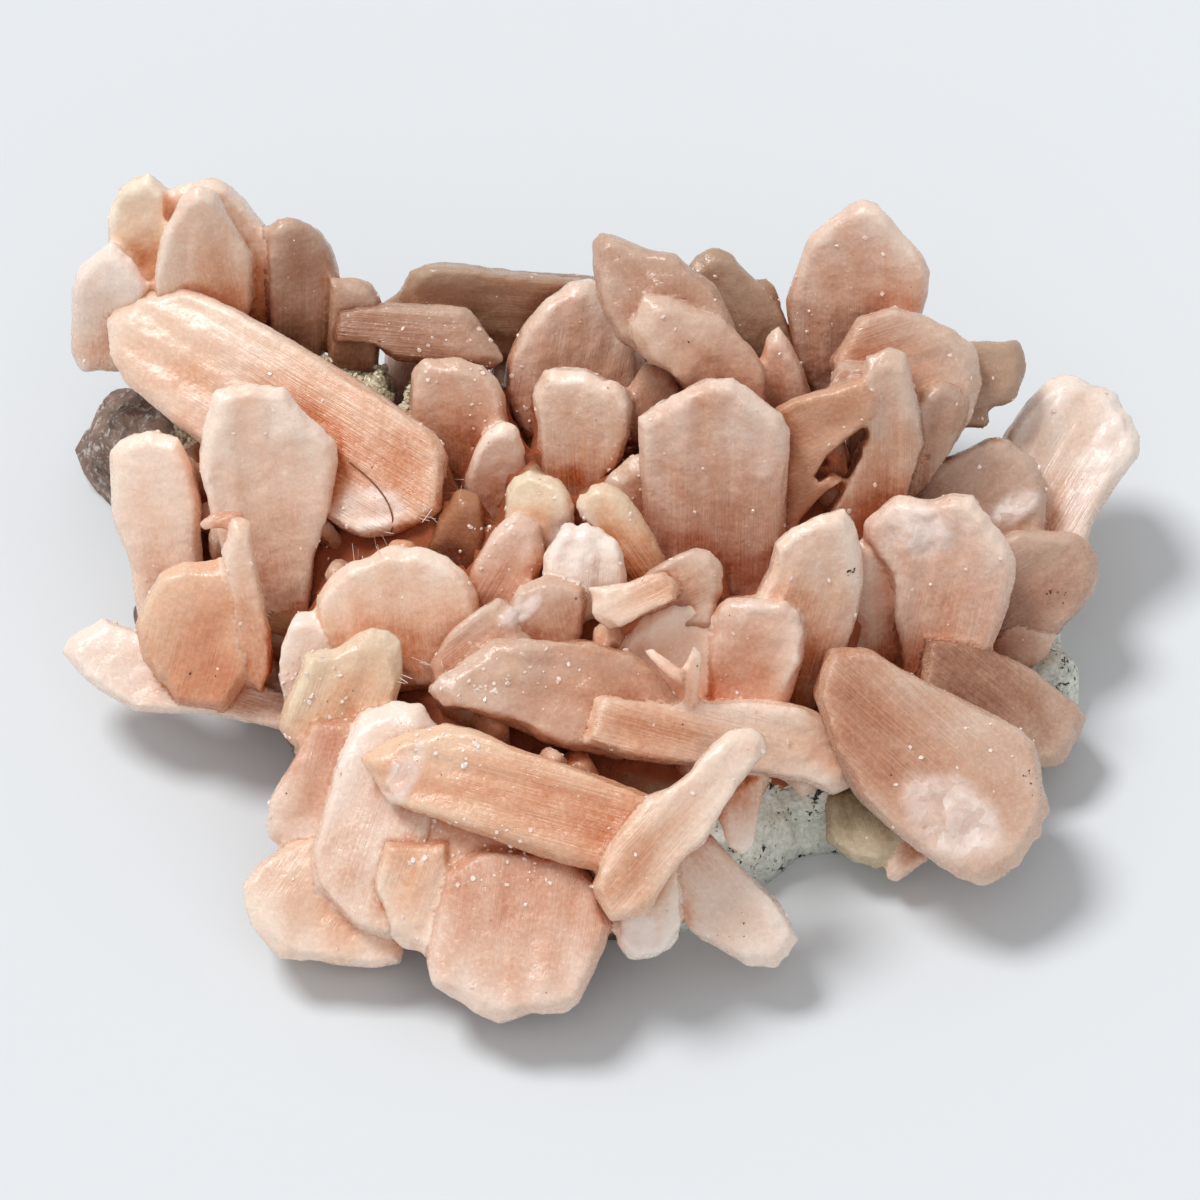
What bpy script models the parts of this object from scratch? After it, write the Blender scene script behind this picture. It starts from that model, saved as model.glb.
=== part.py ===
"""Stilbite cluster: sheaves of tabular peach-pink crystals grown over a slab of basalt.

The rock lies on its broken-flat underside, whose middle is the origin. +Z is up, +X runs along the
longest side, and the cluster's front faces -Y. Every size below is in millimetres. The solids are
made in metres.
"""

import math
from collections import namedtuple

import bmesh
import bpy
from mathutils import Vector, noise

MM = 0.001

# A crystal's face is drawn as it is seen from in front and above: every outline point is a
# distance to the right of, and above, the middle of that view.
SIGHT_ELEVATION = math.radians(50)
SIGHT_DISTANCE = 900.0
SIGHT_MIDDLE = Vector((0.0, 5.0, 22.0))
SIGHT_RIGHT = Vector((1.0, 0.0, 0.0))
SIGHT_UP = Vector((0.0, math.sin(SIGHT_ELEVATION), math.cos(SIGHT_ELEVATION)))
TO_EYE = Vector((0.0, -math.cos(SIGHT_ELEVATION), math.sin(SIGHT_ELEVATION)))
EYE = SIGHT_MIDDLE + TO_EYE * SIGHT_DISTANCE

# The space left open between the rock and what grows on it.
GAP = 0.4
MOST_SHELL_FACTOR = 1.6
SIDE_CHAMFER = 0.9
CHAMFER_DEPTH = 1.6
TIP_SLOPE = 2.6
BACK_TAPER = 0.5
BACK_LEAN = 0.8
FLOOR_CLEARANCE = 1.0

STILBITE_COLOR = (0.80, 0.50, 0.36)
BASALT_COLOR = (0.13, 0.11, 0.11)

# A lump seen from above (x, y) and its height: steep sides, and rises (x, y, rise, spread) in
# its top.
Lump = namedtuple("Lump", "detail outline side_height rises roughness underside")
PLAN_POWER = 0.75
SIDE_POWER = 0.4
ROUGH_SIZE = 9.0
UNDERSIDE = 20.0
ROCK = Lump(4, [
    (-65, 51), (-67.5, 46), (-65.5, 41), (-62, 37.5), (-58, 33), (-58, 27), (-60, 22), (-58, 15),
    (-53, 11), (-46, 9), (-41, 4), (-38, -4), (-34, -12), (-26, -23), (-10, -30), (8, -32),
    (15, -27), (21, -22.5), (25, -18.5), (29, -18), (35, -19), (44, -12), (54, -3), (60.5, 7),
    (58, 18), (50, 30), (40, 41), (20, 46), (0, 48), (-20, 49), (-45, 53), (-57, 53)],
    13.0, [(-55, 44, 8, 14), (0, 12, 4, 30), (54, 0, -5, 16)], 2.2, 0.0)
CRUST = Lump(3, [
    (-58, 48), (-56, 38), (-57, 28), (-59, 20), (-56, 12), (-46, 7), (-39, 2), (-34, -7),
    (-24, -18), (-10, -25), (8, -26), (16, -18), (27, -14), (38, -10), (48, 0), (54, 8), (52, 18),
    (45, 28), (37, 37), (20, 42), (0, 44), (-20, 47), (-42, 50)],
    16.0, [(-50, 42, 14, 14), (-30, 40, 12, 14), (-10, 40, 6, 9), (0, 12, 12, 26),
           (32, 30, 8, 16), (-20, 22, 5, 14), (35, 5, 5, 18)], 1.6, 6.0)

# height: of the outline's first point above the table. across, up: how fast the face rises to the
# right and upwards in the view; up is 0 for a level face, 0.64 for one square to the eye and 1.56
# for an upright one. thick: from face to back. grain: the way the crystal grew, in degrees from
# the right, anticlockwise.
Crystal = namedtuple("Crystal", "height across up thick grain outline")

# A crystal on the far side: the middles of its root and its tip (x, y, height above the table),
# its width and its thickness.
Stem = namedtuple("Stem", "root tip width thick")
# Shares of a stem's length and width, round its outline from the root.
STEM_OUTLINE = [
    (0.0, 0.36), (0.45, 0.46), (0.78, 0.5), (0.93, 0.3), (1.0, 0.1), (1.0, -0.1), (0.93, -0.3),
    (0.78, -0.5), (0.45, -0.46), (0.0, -0.36)]

SHEAVES = {
    "back_left_fan": {
        "knob": Crystal(48, 0.15, 1.1, 8, 110, [
            (-56.5, 53), (-54.5, 51.3), (-53.8, 46), (-54.5, 36), (-60, 36), (-61.2, 45.5),
            (-61.5, 48.5), (-60.4, 51.3), (-58.6, 52.7)]),
        "left_blade": Crystal(42, 0.25, 1.1, 8, 92, [
            (-61, 44.5), (-58.8, 42.6), (-56.7, 39.4), (-57, 31), (-60, 28.5), (-65.3, 28.5),
            (-66.4, 31), (-66.3, 39.6), (-65.2, 41.9), (-63, 43.9)]),
        "front_blade": Crystal(51, -0.12, 1.15, 7, 100, [
            (-50.3, 51.6), (-48.3, 51), (-46.8, 48.5), (-43.4, 43), (-43.4, 37.5), (-45, 30),
            (-56, 30), (-56, 40), (-54.5, 46), (-52.5, 50)]),
        "rear_blade": Crystal(47, 0.1, 1.15, 8, 105, [
            (-49.2, 52.7), (-47.2, 52.1), (-45, 50), (-42, 46.3), (-40.3, 43), (-39.2, 37),
            (-40, 28), (-50, 28), (-54.6, 44), (-54.4, 51.2), (-51.5, 51.9)]),
        "grey_blade": Crystal(42, -0.2, 1.1, 8, 88, [
            (-38.5, 47.7), (-36.8, 47.2), (-34.9, 46), (-33.6, 44), (-32.7, 40.9), (-33.5, 34),
            (-36, 26), (-41, 28), (-41.8, 38), (-41.8, 46.6), (-40.3, 47.5)]),
        "low_grey_blade": Crystal(35, -0.1, 1.0, 7, 80, [
            (-30, 40.1), (-28.7, 39.5), (-27.4, 36.5), (-28, 28), (-34, 28), (-34, 40.6)]),
    },
    "left_long_blade": {
        "long_blade": Crystal(37, 0.22, 0.58, 12, 149, [
            (-56.5, 39.4), (-53, 39.6), (-49.5, 38.4), (-43, 35), (-35, 30.3), (-26, 24.6),
            (-21.3, 21.3), (-19.6, 18.5), (-19.6, 15), (-20.1, 11.3), (-22, 9.7), (-26, 8.3),
            (-30, 7.7), (-34.5, 10), (-42, 14), (-50, 19.5), (-55, 23.5), (-59.5, 27.3),
            (-61.7, 31), (-62, 35), (-60, 38)]),
    },
    "left_front_sheaf": {
        "hexagonal_blade": Crystal(43, -0.08, 0.95, 8, 97, [
            (-44.5, 27.2), (-39.5, 26.4), (-36.5, 22.8), (-33.2, 19.8), (-32.9, 17), (-34, 11),
            (-35.6, 5), (-36.5, -4), (-45, -4), (-47.5, 6), (-50.2, 16.5), (-49.7, 21),
            (-48.2, 26.2)]),
        "left_blade": Crystal(33, 0.2, 0.95, 8, 98, [
            (-56.5, 21), (-53, 20.3), (-51.3, 17), (-50.2, 12), (-50, 4), (-52, -6), (-57.5, -5),
            (-59.3, 5), (-61.2, 10), (-61.7, 18.5), (-59.5, 20.4)]),
        "tongue": Crystal(29, 0.1, 0.75, 7, 75, [
            (-48, 4.9), (-45, 4.5), (-42.6, 2.2), (-42.2, -2), (-44, -9.5), (-47, -14),
            (-53, -13), (-57.5, -7), (-58.5, -3.5), (-57, 0.2), (-55, 3.5), (-52, 4.6)]),
        "slender_blade": Crystal(35, 0.05, 0.85, 5, 103, [
            (-46, 10.3), (-43.8, 10), (-42.6, 2), (-41.2, -4), (-41, -9.5), (-42.4, -11.8),
            (-44.3, -10.5), (-45.8, -5.5), (-46.2, 0), (-47.8, 6)]),
        "twig": Crystal(32.5, 0.0, 0.6, 1.6, 205, [
            (-50.1, 9.7), (-48, 11.2), (-44.6, 11), (-44.6, 9.2), (-49.6, 8.9)]),
        "pointing_blade": Crystal(15, 0.03, 0.45, 6, 165, [
            (-67.4, -6.3), (-66.5, -4.6), (-64.2, -3.3), (-62.4, -2), (-60, -2.9), (-57, -4.3),
            (-54.5, -7), (-48, -10), (-42, -11.5), (-36, -12), (-36, -17), (-43, -15.7),
            (-50, -14.2), (-58.5, -14), (-61, -12.6), (-65, -9.6)]),
    },
    "back_bars": {
        "long_bar": Crystal(33, 0.0, 1.2, 10, 177, [
            (-22, 41.7), (-18, 41.6), (-10, 40.7), (-1, 39.8), (5, 39.2), (5, 30), (-8, 29),
            (-18, 31), (-23.5, 34.4), (-25.2, 38.2), (-23.7, 40.8)]),
        "bar_chip": Crystal(28.5, 0.1, 0.8, 4, 170, [
            (-24.8, 39.2), (-22.5, 38.6), (-20.8, 37.6), (-21, 34), (-28, 34), (-28, 36.5)]),
        "near_bar": Crystal(33, 0.05, 0.7, 8, 355, [
            (-16.8, 36.5), (-15.2, 35.2), (-13.5, 32.6), (-12, 30), (-14, 29), (-20, 29.5),
            (-25.5, 29.8), (-28.5, 32), (-33.5, 32.2), (-33.5, 36.7), (-26, 37)]),
    },
    "centre_back_sheaf": {
        "dome": Crystal(35, -0.1, 0.9, 11, 80, [
            (-3.5, 39.7), (-1, 40), (1.3, 38), (4, 34.5), (5.5, 30), (5, 24), (0, 20), (-9, 20),
            (-12, 26), (-11.5, 30), (-9.5, 34), (-6.5, 37.6)]),
        "striated_blade": Crystal(38, 0.15, 1.05, 9, 95, [
            (-4, 28.8), (-1, 28.2), (1.2, 27.4), (3.2, 26.3), (4, 24.2), (3.6, 20.5), (2.4, 17.5),
            (0.5, 15), (-1, 8), (-7, 8), (-7.8, 17), (-8, 22), (-8.6, 25.4), (-7.2, 28.3)]),
        "grey_blade": Crystal(33, 0.12, 0.9, 9, 92, [
            (-18, 30.1), (-14.8, 29.2), (-13, 27.6), (-12, 25.5), (-11.5, 20), (-13, 10),
            (-20, 8), (-23.4, 13), (-23.9, 23), (-23.6, 28.4), (-22, 30)]),
        "low_blade": Crystal(32, -0.15, 1.1, 8, 88, [
            (-12, 22.1), (-10.4, 21.5), (-9.3, 19), (-8.4, 15), (-9, 9), (-11, 3), (-15, 3),
            (-17, 10), (-17, 15), (-15.7, 19), (-14, 21.4)]),
        "small_blade": Crystal(34, 0.0, 0.85, 6, 100, [
            (5.8, 29.8), (9, 28.7), (10.5, 26), (9, 20), (3.5, 19), (3.6, 26.5)]),
        "shade_blade": Crystal(32.5, 0.0, 0.9, 7, 112, [
            (3.5, 17.6), (5.7, 18), (9, 15), (10, 5), (6, 2), (2, 4), (1, 9), (0.3, 14.8)]),
    },
    "top_centre_sheaf": {
        "upper_blade": Crystal(48, 0.06, 0.6, 9, 128, [
            (0.2, 46), (3.3, 45.1), (6.5, 43.9), (9.3, 43.3), (12, 40.8), (14.2, 39.4),
            (17, 34.5), (15, 29), (8, 29.5), (2.2, 32.6), (0.4, 36), (-0.6, 40), (-1.1, 45.2)]),
        "lower_blade": Crystal(47, -0.1, 0.8, 10, 132, [
            (5.5, 38.2), (10, 37.6), (16, 35), (18.8, 31.8), (20.3, 29.2), (20.2, 26), (21, 23),
            (16, 19), (12, 24.5), (8.5, 28.5), (5.2, 30.6), (4, 34)]),
        "rear_blade": Crystal(41, -0.12, 0.85, 9, 118, [
            (14.6, 43.9), (16.6, 43), (18.5, 40.8), (21, 39), (23.3, 35.5), (25.2, 31),
            (26.3, 27), (26, 20), (19, 20), (13, 30), (11, 37), (11.1, 41.6), (12.5, 43.2)]),
        "side_blade": Crystal(39.5, 0.0, 0.9, 7, 108, [
            (22.3, 34.2), (24, 31.7), (25.6, 28.4), (26.4, 25.5), (25.5, 20), (22, 17),
            (19.8, 24), (19.7, 29), (20.5, 33)]),
        "small_rear_blade": Crystal(36, 0.0, 0.9, 6, 100, [
            (20.8, 40.1), (21.8, 39.1), (22.6, 37), (23, 30), (18, 30), (18.2, 39.6)]),
    },
    "top_right_sheaf": {
        "roof_blade": Crystal(49, 0.1, 1.0, 10, 92, [
            (33, 50), (34.7, 49.6), (38.5, 45), (40.3, 43), (41.2, 41), (41, 38.4), (40, 35.5),
            (38, 26), (27, 24), (23.6, 31), (23.3, 37.5), (25, 42.5), (26, 45), (28.6, 47.4),
            (31.3, 49.3)]),
        "arching_blade": Crystal(42, -0.15, 0.7, 9, 20, [
            (40.2, 35.8), (44, 33.9), (47, 32.2), (48, 28), (47, 23.5), (44, 18.5), (38, 15),
            (31, 22), (29, 30), (32.5, 35.3), (36.6, 36.7)]),
        "right_tip": Crystal(34.5, 0.0, 0.6, 8, 8, [
            (52.2, 32.5), (53.2, 31), (53.4, 29.3), (52.8, 27), (51.8, 25), (50.6, 24.4),
            (46, 23.4), (40, 22), (40, 31), (46.5, 32.2), (50.3, 32.1)]),
        "right_chip": Crystal(27.5, 0.0, 0.6, 4, 300, [
            (48.3, 21.2), (49, 22.3), (48.9, 24.2), (44, 27), (42, 22), (46.6, 21.6)]),
        "round_blade": Crystal(38, -0.2, 0.95, 7, 85, [
            (43, 27.3), (45, 26.6), (46.4, 24.8), (45.9, 22.3), (43.8, 18.5), (41, 14),
            (36, 10), (37, 20), (40.6, 26)]),
        "tall_blade": Crystal(46, -0.15, 0.95, 8, 90, [
            (36.5, 31.3), (38.4, 30.7), (39.7, 26), (40.9, 19.6), (38.4, 12.8), (36, 5), (28, 5),
            (28.3, 10.5), (31, 15), (34.2, 21.5), (33.2, 26), (33.6, 30.2)]),
        "slanting_blade": Crystal(44, 0.12, 0.85, 8, 28, [
            (34, 28.1), (35.5, 26), (35, 23.2), (31, 20), (28.3, 17.8), (25.6, 13.5), (24.6, 9),
            (23.6, 3), (18, 3), (17, 18), (22, 24.2), (24.5, 25.5), (28, 26.4)]),
        "white_chip": Crystal(41, 0.0, 0.8, 5, 60, [
            (29.8, 29.7), (33.6, 29.9), (35, 27), (34, 22), (29, 22), (28.6, 27.8)]),
    },
    "central_blade": {
        "central_blade": Crystal(47, 0.06, 1.05, 9, 90, [
            (13.4, 27.7), (16.5, 27.5), (20, 25), (22.6, 23), (23.7, 21), (23.5, 14), (23, 6),
            (21.5, -3), (18, -8), (11, -8), (7.5, 0), (5.6, 9), (5, 16), (4.9, 22.7), (8.5, 24.9),
            (11, 26.6)]),
    },
    "right_sheaf": {
        "end_blade": Crystal(26, -0.05, 0.5, 10, 58, [
            (58.2, 28.1), (60.6, 27.8), (64.6, 26), (66, 23.2), (67.5, 20.6), (67.4, 18.4),
            (64, 13.5), (62, 10.5), (60, 5), (54, 2), (50, 8), (49.5, 15), (51, 21.2),
            (53.6, 24.8), (56, 27.2)]),
        "shoulder_blade": Crystal(28, -0.1, 0.68, 9, 40, [
            (49, 20.4), (51.3, 20), (53.5, 18.3), (55.4, 16), (56.2, 13.3), (56, 9.5), (53, 5),
            (46, 2), (36, 4), (36, 13), (40, 17), (44.5, 18.2)]),
        "side_blade": Crystal(21, -0.12, 0.75, 9, 30, [
            (59.5, 8.1), (61.2, 7.2), (62.4, 5), (62.7, 3.2), (61.9, 1), (60, -1.2), (57.5, -3.6),
            (54, -9), (47, -9), (44, 0), (47, 6), (52, 8.7), (56, 8.6)]),
        "under_blade": Crystal(13, 0.0, 0.6, 6, 350, [
            (57.2, -4.2), (57, -6), (55, -7.8), (48, -10), (44, -5), (49, -2.6), (53, -3.2)]),
    },
    "right_front_sheaf": {
        "roof_blade": Crystal(36, 0.1, 0.9, 10, 78, [
            (46.8, 12.8), (48.2, 10.6), (50, 8.5), (51.9, 5), (52, 2.5), (51, -1), (49.3, -5.5),
            (47, -14), (38, -14), (37.5, -6), (37, 2), (33, 8), (33.2, 9.6), (35.4, 11.6),
            (37, 12.6), (41, 12.3), (44, 13)]),
        "shade_blade": Crystal(30, -0.25, 0.9, 8, 92, [
            (34.2, 8.6), (37, 7.3), (40.3, 5), (41.5, 0), (41, -8), (39, -14), (31, -14),
            (31, -4), (31.8, 6.5)]),
        "long_blade": Crystal(13.5, -0.12, 0.55, 11, 318, [
            (52, -33.4), (50, -34.9), (47.5, -35.4), (45, -34.4), (40, -31.2), (36, -28.3),
            (32.5, -24.6), (30, -20), (27, -12), (29, -6), (34, -6.5), (38, -8.6), (44, -11.5),
            (48, -13.8), (52.5, -15.9), (54.7, -17.8), (55.4, -21), (56.1, -26), (55.4, -29.4)]),
        "far_blade": Crystal(10.5, -0.3, 0.55, 8, 320, [
            (61.2, -14.4), (60.4, -17.2), (59, -19.4), (57.3, -20.9), (55, -21), (48, -19),
            (40, -11), (41, -5), (47, -5.2), (51, -6.8), (54.5, -8.6), (57.5, -11), (60.2, -12.8)]),
    },
    "centre_front_sheaf": {
        "white_blade": Crystal(37, 0.0, 0.85, 4.5, 85, [
            (-4.3, 9.5), (-2.9, 8.5), (-1.5, 9.3), (0.2, 9.1), (2, 7.5), (3, 6), (3.4, 2.5),
            (3, -2), (-2, -3), (-4, 1.5), (-7, 3.4), (-7, 5.4)]),
        "cream_blade": Crystal(36, 0.0, 0.6, 5, 205, [
            (-1.5, 1.6), (3, 2.1), (5.6, 3.3), (8, 3.9), (10.1, 2), (9.9, 0), (6, -1.6),
            (3.5, -2.9), (1, -3.9), (-0.6, -2.6)]),
        "grey_knob": Crystal(36.5, 0.0, 0.75, 6, 25, [
            (12, 6.3), (13.8, 6.1), (15.1, 4.8), (15.6, 3.3), (15.3, 0.8), (14, -4), (7, -4),
            (3.5, 1), (7, 4.3), (10, 5.7)]),
        "yellow_blade": Crystal(37, 0.0, 0.8, 5, 125, [
            (0.5, 14.8), (2.2, 14.1), (3.6, 13), (5.2, 10.4), (7.2, 7), (10, 2), (5, -2), (2, 3),
            (0, 8), (-2.6, 10.2), (-3.5, 11.7), (-2.9, 13.2), (-1.4, 14.4)]),
        "leaning_blade": Crystal(33, 0.0, 0.8, 6, 60, [
            (-13.5, 8.7), (-10.5, 11), (-7.5, 9.5), (-7, 5), (-8.5, 1), (-12, -3), (-17, -4.5),
            (-18, -1), (-16, 4.5)]),
        "rear_leaning_blade": Crystal(29, 0.0, 0.8, 6, 118, [
            (-19.5, 11.5), (-17.5, 13.5), (-15, 13), (-14.5, 8), (-16, 0), (-22, 1),
            (-22.5, 6)]),
        "peach_blade": Crystal(35.5, 0.15, 0.85, 6, 108, [
            (-9, 16.6), (-7, 15.8), (-5.2, 15), (-3.8, 12.5), (-3.6, 8), (-6, 2), (-10, -3),
            (-16, -3), (-15, 5), (-12, 10), (-12.1, 13.6), (-11, 15.6)]),
        "round_blade": Crystal(34, -0.1, 0.78, 7, 105, [
            (-7, 3.2), (-4, 2.4), (-2.1, 1.7), (-1.5, -0.5), (-2, -4), (-4, -9), (-13, -9),
            (-13.5, -3.5), (-11.2, 0), (-10.2, 1.9)]),
    },
    "front_long_sheaf": {
        "slanting_blade": Crystal(31.5, 0.0, 0.7, 7, 38, [
            (-15.5, -1.5), (-12.5, 0.5), (-9, -2), (-8, -7), (-12, -12), (-21, -11.5),
            (-21.5, -8), (-18.5, -4)]),
        "left_mass": Crystal(33, -0.1, 0.6, 10, 172, [
            (-13.5, -5.4), (-8, -4.9), (-2, -4.8), (3.2, -6), (7, -9), (10, -13), (9, -19.6),
            (2, -20), (-7, -17.5), (-14, -14.5), (-20, -13.5), (-21.5, -11), (-17.5, -8)]),
        "right_blade": Crystal(19, -0.2, 0.62, 9, 345, [
            (31.8, -18.4), (32.3, -21), (31.2, -23.3), (29.4, -24.3), (26, -22.8), (21, -22),
            (14, -21), (4, -20), (-2, -18), (0, -12), (7, -12.4), (14, -12.9), (20, -13),
            (25, -13.5), (28.5, -14.7), (30.6, -16.3)]),
        "grey_knob": Crystal(33.5, 0.12, 0.85, 8, 60, [
            (18.5, 0.3), (20.6, -0.1), (23, 0.2), (25, -1.4), (25.9, -4), (25.6, -7), (24.6, -9.4),
            (23, -13), (14, -14), (13.4, -6), (14.3, -0.6), (16, 0.4)]),
        "pink_knob": Crystal(32.5, -0.1, 0.9, 8, 110, [
            (11.5, 0.2), (14, -1), (14.8, -5), (14.6, -9), (13, -14), (6, -14), (2, -9),
            (2.6, -5), (6, -2), (9, -0.3)]),
        "standing_blade": Crystal(40, -0.2, 0.95, 7, 75, [
            (30.7, 11.2), (32.2, 8.5), (33, 6), (33.1, 3), (32.6, -1.5), (31.5, -6), (30, -9.6),
            (27, -16), (20, -16), (18, -6), (19.7, 0.5), (21.4, 3.6), (22, 7), (24, 8.9),
            (27, 10.3)]),
        "splinter": Crystal(35, 0.0, 1.1, 1.8, 80, [
            (11.7, -5.5), (12.9, -7), (12.4, -12.6), (11.3, -15), (10.2, -13.6), (10.5, -8)]),
        "rod": Crystal(33.5, 0.0, 0.6, 1.8, 150, [
            (5.2, -6.3), (6.2, -5.6), (10.6, -8.9), (10.2, -10.6), (8.8, -9.9)]),
    },
    "front_left_sheaf": {
        "hexagonal_blade": Crystal(33.5, 0.08, 0.8, 9, 95, [
            (-26, 6.9), (-22, 6.4), (-19, 5.1), (-17, 3.5), (-15.4, 0.5), (-14.8, -4), (-17, -11),
            (-30, -12), (-34.6, -7), (-35.5, -2.5), (-35.4, 0.4), (-34, 2.5), (-31.5, 4.5),
            (-28.5, 5.8)]),
        "edge_blade": Crystal(26, 0.0, 0.75, 5, 62, [
            (-35.6, -1.5), (-33, -4), (-32, -8), (-36, -13), (-40, -13.2), (-40.6, -9.5),
            (-39.6, -4.4), (-38.3, -1.9)]),
        "two_tone_blade": Crystal(31, -0.1, 0.7, 8, 70, [
            (-28.5, -3.7), (-26.4, -4), (-25, -5.2), (-24.8, -10), (-27, -17), (-31.5, -20),
            (-36, -19.6), (-38.6, -18.3), (-40.1, -16), (-39.2, -12.8), (-37.2, -9.4),
            (-36.6, -6.9), (-33, -6), (-31, -4.6)]),
        "low_blade": Crystal(15, 0.05, 0.6, 8, 255, [
            (-39.8, -31), (-41.6, -29.8), (-42, -28), (-41.3, -25), (-38.3, -20), (-36, -15),
            (-31, -15), (-31, -24), (-33, -31)]),
        "veil_blade": Crystal(27.5, 0.1, 0.5, 9, 72, [
            (-26, -12.7), (-22.5, -13), (-19.5, -17), (-20, -24), (-21, -31), (-22.5, -38),
            (-26, -42.5), (-31, -41), (-35.6, -36), (-36, -31), (-34, -24), (-32, -18),
            (-30, -14)]),
        "corner_blade": Crystal(10, -0.05, 0.5, 9, 235, [
            (-41.2, -43.2), (-43.8, -40.5), (-44.4, -38), (-44.6, -35.4), (-43, -33),
            (-39.8, -30.8), (-34, -28), (-27, -30), (-24, -37), (-24.6, -43.6), (-25, -45.4),
            (-28, -46), (-31.5, -46), (-35.5, -45.4), (-40, -44.8)]),
    },
    "front_low_sheaf": {
        "big_blade": Crystal(9.5, 0.05, 0.5, 9, 262, [
            (-12.8, -53), (-14.2, -52.3), (-17, -50.4), (-21.1, -48.2), (-21.8, -45), (-20.8, -39),
            (-19.5, -34), (-15, -31), (-4, -31.5), (0, -35.5), (1.4, -40.8), (-1, -47),
            (-2.8, -50.5), (-4.3, -51.3), (-10, -52)]),
        "fragment_bed": Crystal(14.5, 0.05, 0.55, 7, 240, [
            (-20, -38.5), (-25.5, -37.5), (-27, -33), (-25, -25), (-16, -25), (-8, -28),
            (-9, -33), (-13, -37.5)]),
        "filler_blade": Crystal(12, 0.02, 0.6, 8, 250, [
            (-22, -44.3), (-24.2, -43.7), (-26.5, -42), (-28.5, -36), (-27, -30), (-19, -30),
            (-18.5, -38), (-19.5, -43)]),
        "round_blade": Crystal(12, 0.0, 0.68, 7, 262, [
            (6, -45.4), (3.8, -45), (2.3, -43.2), (2, -41), (3, -34), (5, -29), (10, -30),
            (10, -40), (9.8, -42.3), (8.6, -44)]),
        "corner_blade": Crystal(9, -0.1, 0.6, 8, 310, [
            (22.2, -46), (18.5, -45.7), (15, -43.6), (11.4, -41.3), (9.6, -36), (8, -29),
            (14, -29), (18, -33.5), (20.6, -35.9), (23.1, -38.6), (25, -42.4), (23.9, -44)]),
        "glass_plate": Crystal(20, 0.0, 0.75, 3, 262, [
            (17.6, -32.1), (16, -31), (15.2, -27.5), (15.4, -22), (20.6, -22), (20.4, -25),
            (19.3, -31)]),
    },
    "crossing_blades": {
        "long_blade": Crystal(27.5, 0.12, 0.6, 9, 165, [
            (-29.8, -19.8), (-26.5, -17.6), (-23, -16.3), (-19.5, -15.5), (-16, -16.3),
            (-11, -18.3), (-5, -20.4), (1, -22.7), (6, -24.5), (10, -28), (9, -33), (4, -34.5),
            (-5, -33), (-12, -30.3), (-18, -28), (-22, -26.6), (-26.6, -25.5), (-28.7, -22.6)]),
        "cross_blade": Crystal(34, -0.08, 0.62, 8, 48, [
            (19, -15.9), (20.8, -17.4), (20.9, -19), (18.5, -22), (16, -25.6), (14, -28.6),
            (13, -30.5), (10.6, -32), (8.5, -35), (6, -39), (1.2, -40.5), (-1, -36), (1, -31),
            (3, -28), (5.4, -24.7), (9, -23.3), (12, -21), (14, -18.2), (16.4, -16.1)]),
    },
    "rear_sheaf": {
        "left_stem": Stem((-52, 40, 12), (-55, 57, 27), 11, 8),
        "second_stem": Stem((-41, 42, 12), (-43, 57, 21), 10, 7),
        "third_stem": Stem((-24, 40, 12), (-22, 55, 19), 11, 8),
        "fourth_stem": Stem((-8, 40, 12), (-9, 56, 21), 12, 8),
        "fifth_stem": Stem((7, 40, 13), (9, 57, 23), 11, 8),
        "sixth_stem": Stem((22, 37, 11), (22, 51, 17), 10, 7),
        "seventh_stem": Stem((35, 34, 12), (38, 49, 24), 11, 8),
    },
    "front_right_chips": {
        "green_chip": Crystal(6.5, 0.0, 0.5, 5, 290, [
            (34.6, -33.8), (31.5, -32.8), (28.4, -30.2), (28, -24), (34, -22), (40, -26),
            (38, -30.8), (36.6, -32.6)]),
        "pink_chip": Crystal(5.5, 0.0, 0.45, 4, 225, [
            (37, -35.2), (36, -34.6), (35.9, -33), (37.5, -29), (42, -27), (43, -31.4),
            (39.6, -33.6)]),
    },
}


def seen_at(right, up, height):
    """The point at this height above the table that is seen at this place of the view."""
    towards = SIGHT_MIDDLE + SIGHT_RIGHT * right + SIGHT_UP * up - EYE
    return EYE + towards * ((height - EYE.z) / towards.z)


def face_points(crystal):
    """The crystal's outline laid on its sloping face."""
    first_right, first_up = crystal.outline[0]
    return [
        seen_at(right, up, crystal.height + crystal.across * (right - first_right)
                + crystal.up * (up - first_up))
        for right, up in crystal.outline
    ]


def face_directions(crystal, points):
    """Directions in the face: across the grain and along it. Their product points out of it."""
    side = points[len(points) // 3] - points[0]
    other = points[2 * len(points) // 3] - points[0]
    out = side.cross(other).normalized()
    if out.dot(TO_EYE) < 0:
        out = -out
    turn = math.radians(crystal.grain)
    seen_grain = SIGHT_RIGHT * math.cos(turn) + SIGHT_UP * math.sin(turn)
    # The grain as it lies in the face: moved along the line of sight onto it.
    along = (seen_grain - TO_EYE * (seen_grain.dot(out) / TO_EYE.dot(out))).normalized()
    return along.cross(out).normalized(), along


def standing_points(stem):
    """Outline of a crystal given by its root and tip: it widens to two shoulders, then points."""
    root, tip = Vector(stem.root), Vector(stem.tip)
    along = (tip - root).normalized()
    across = along.cross(Vector((0, 0, 1))).normalized()
    length = (tip - root).length
    points = []
    for share, half_width in STEM_OUTLINE:
        points.append(root + along * length * share + across * stem.width * half_width)
    return points, across, along


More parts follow.
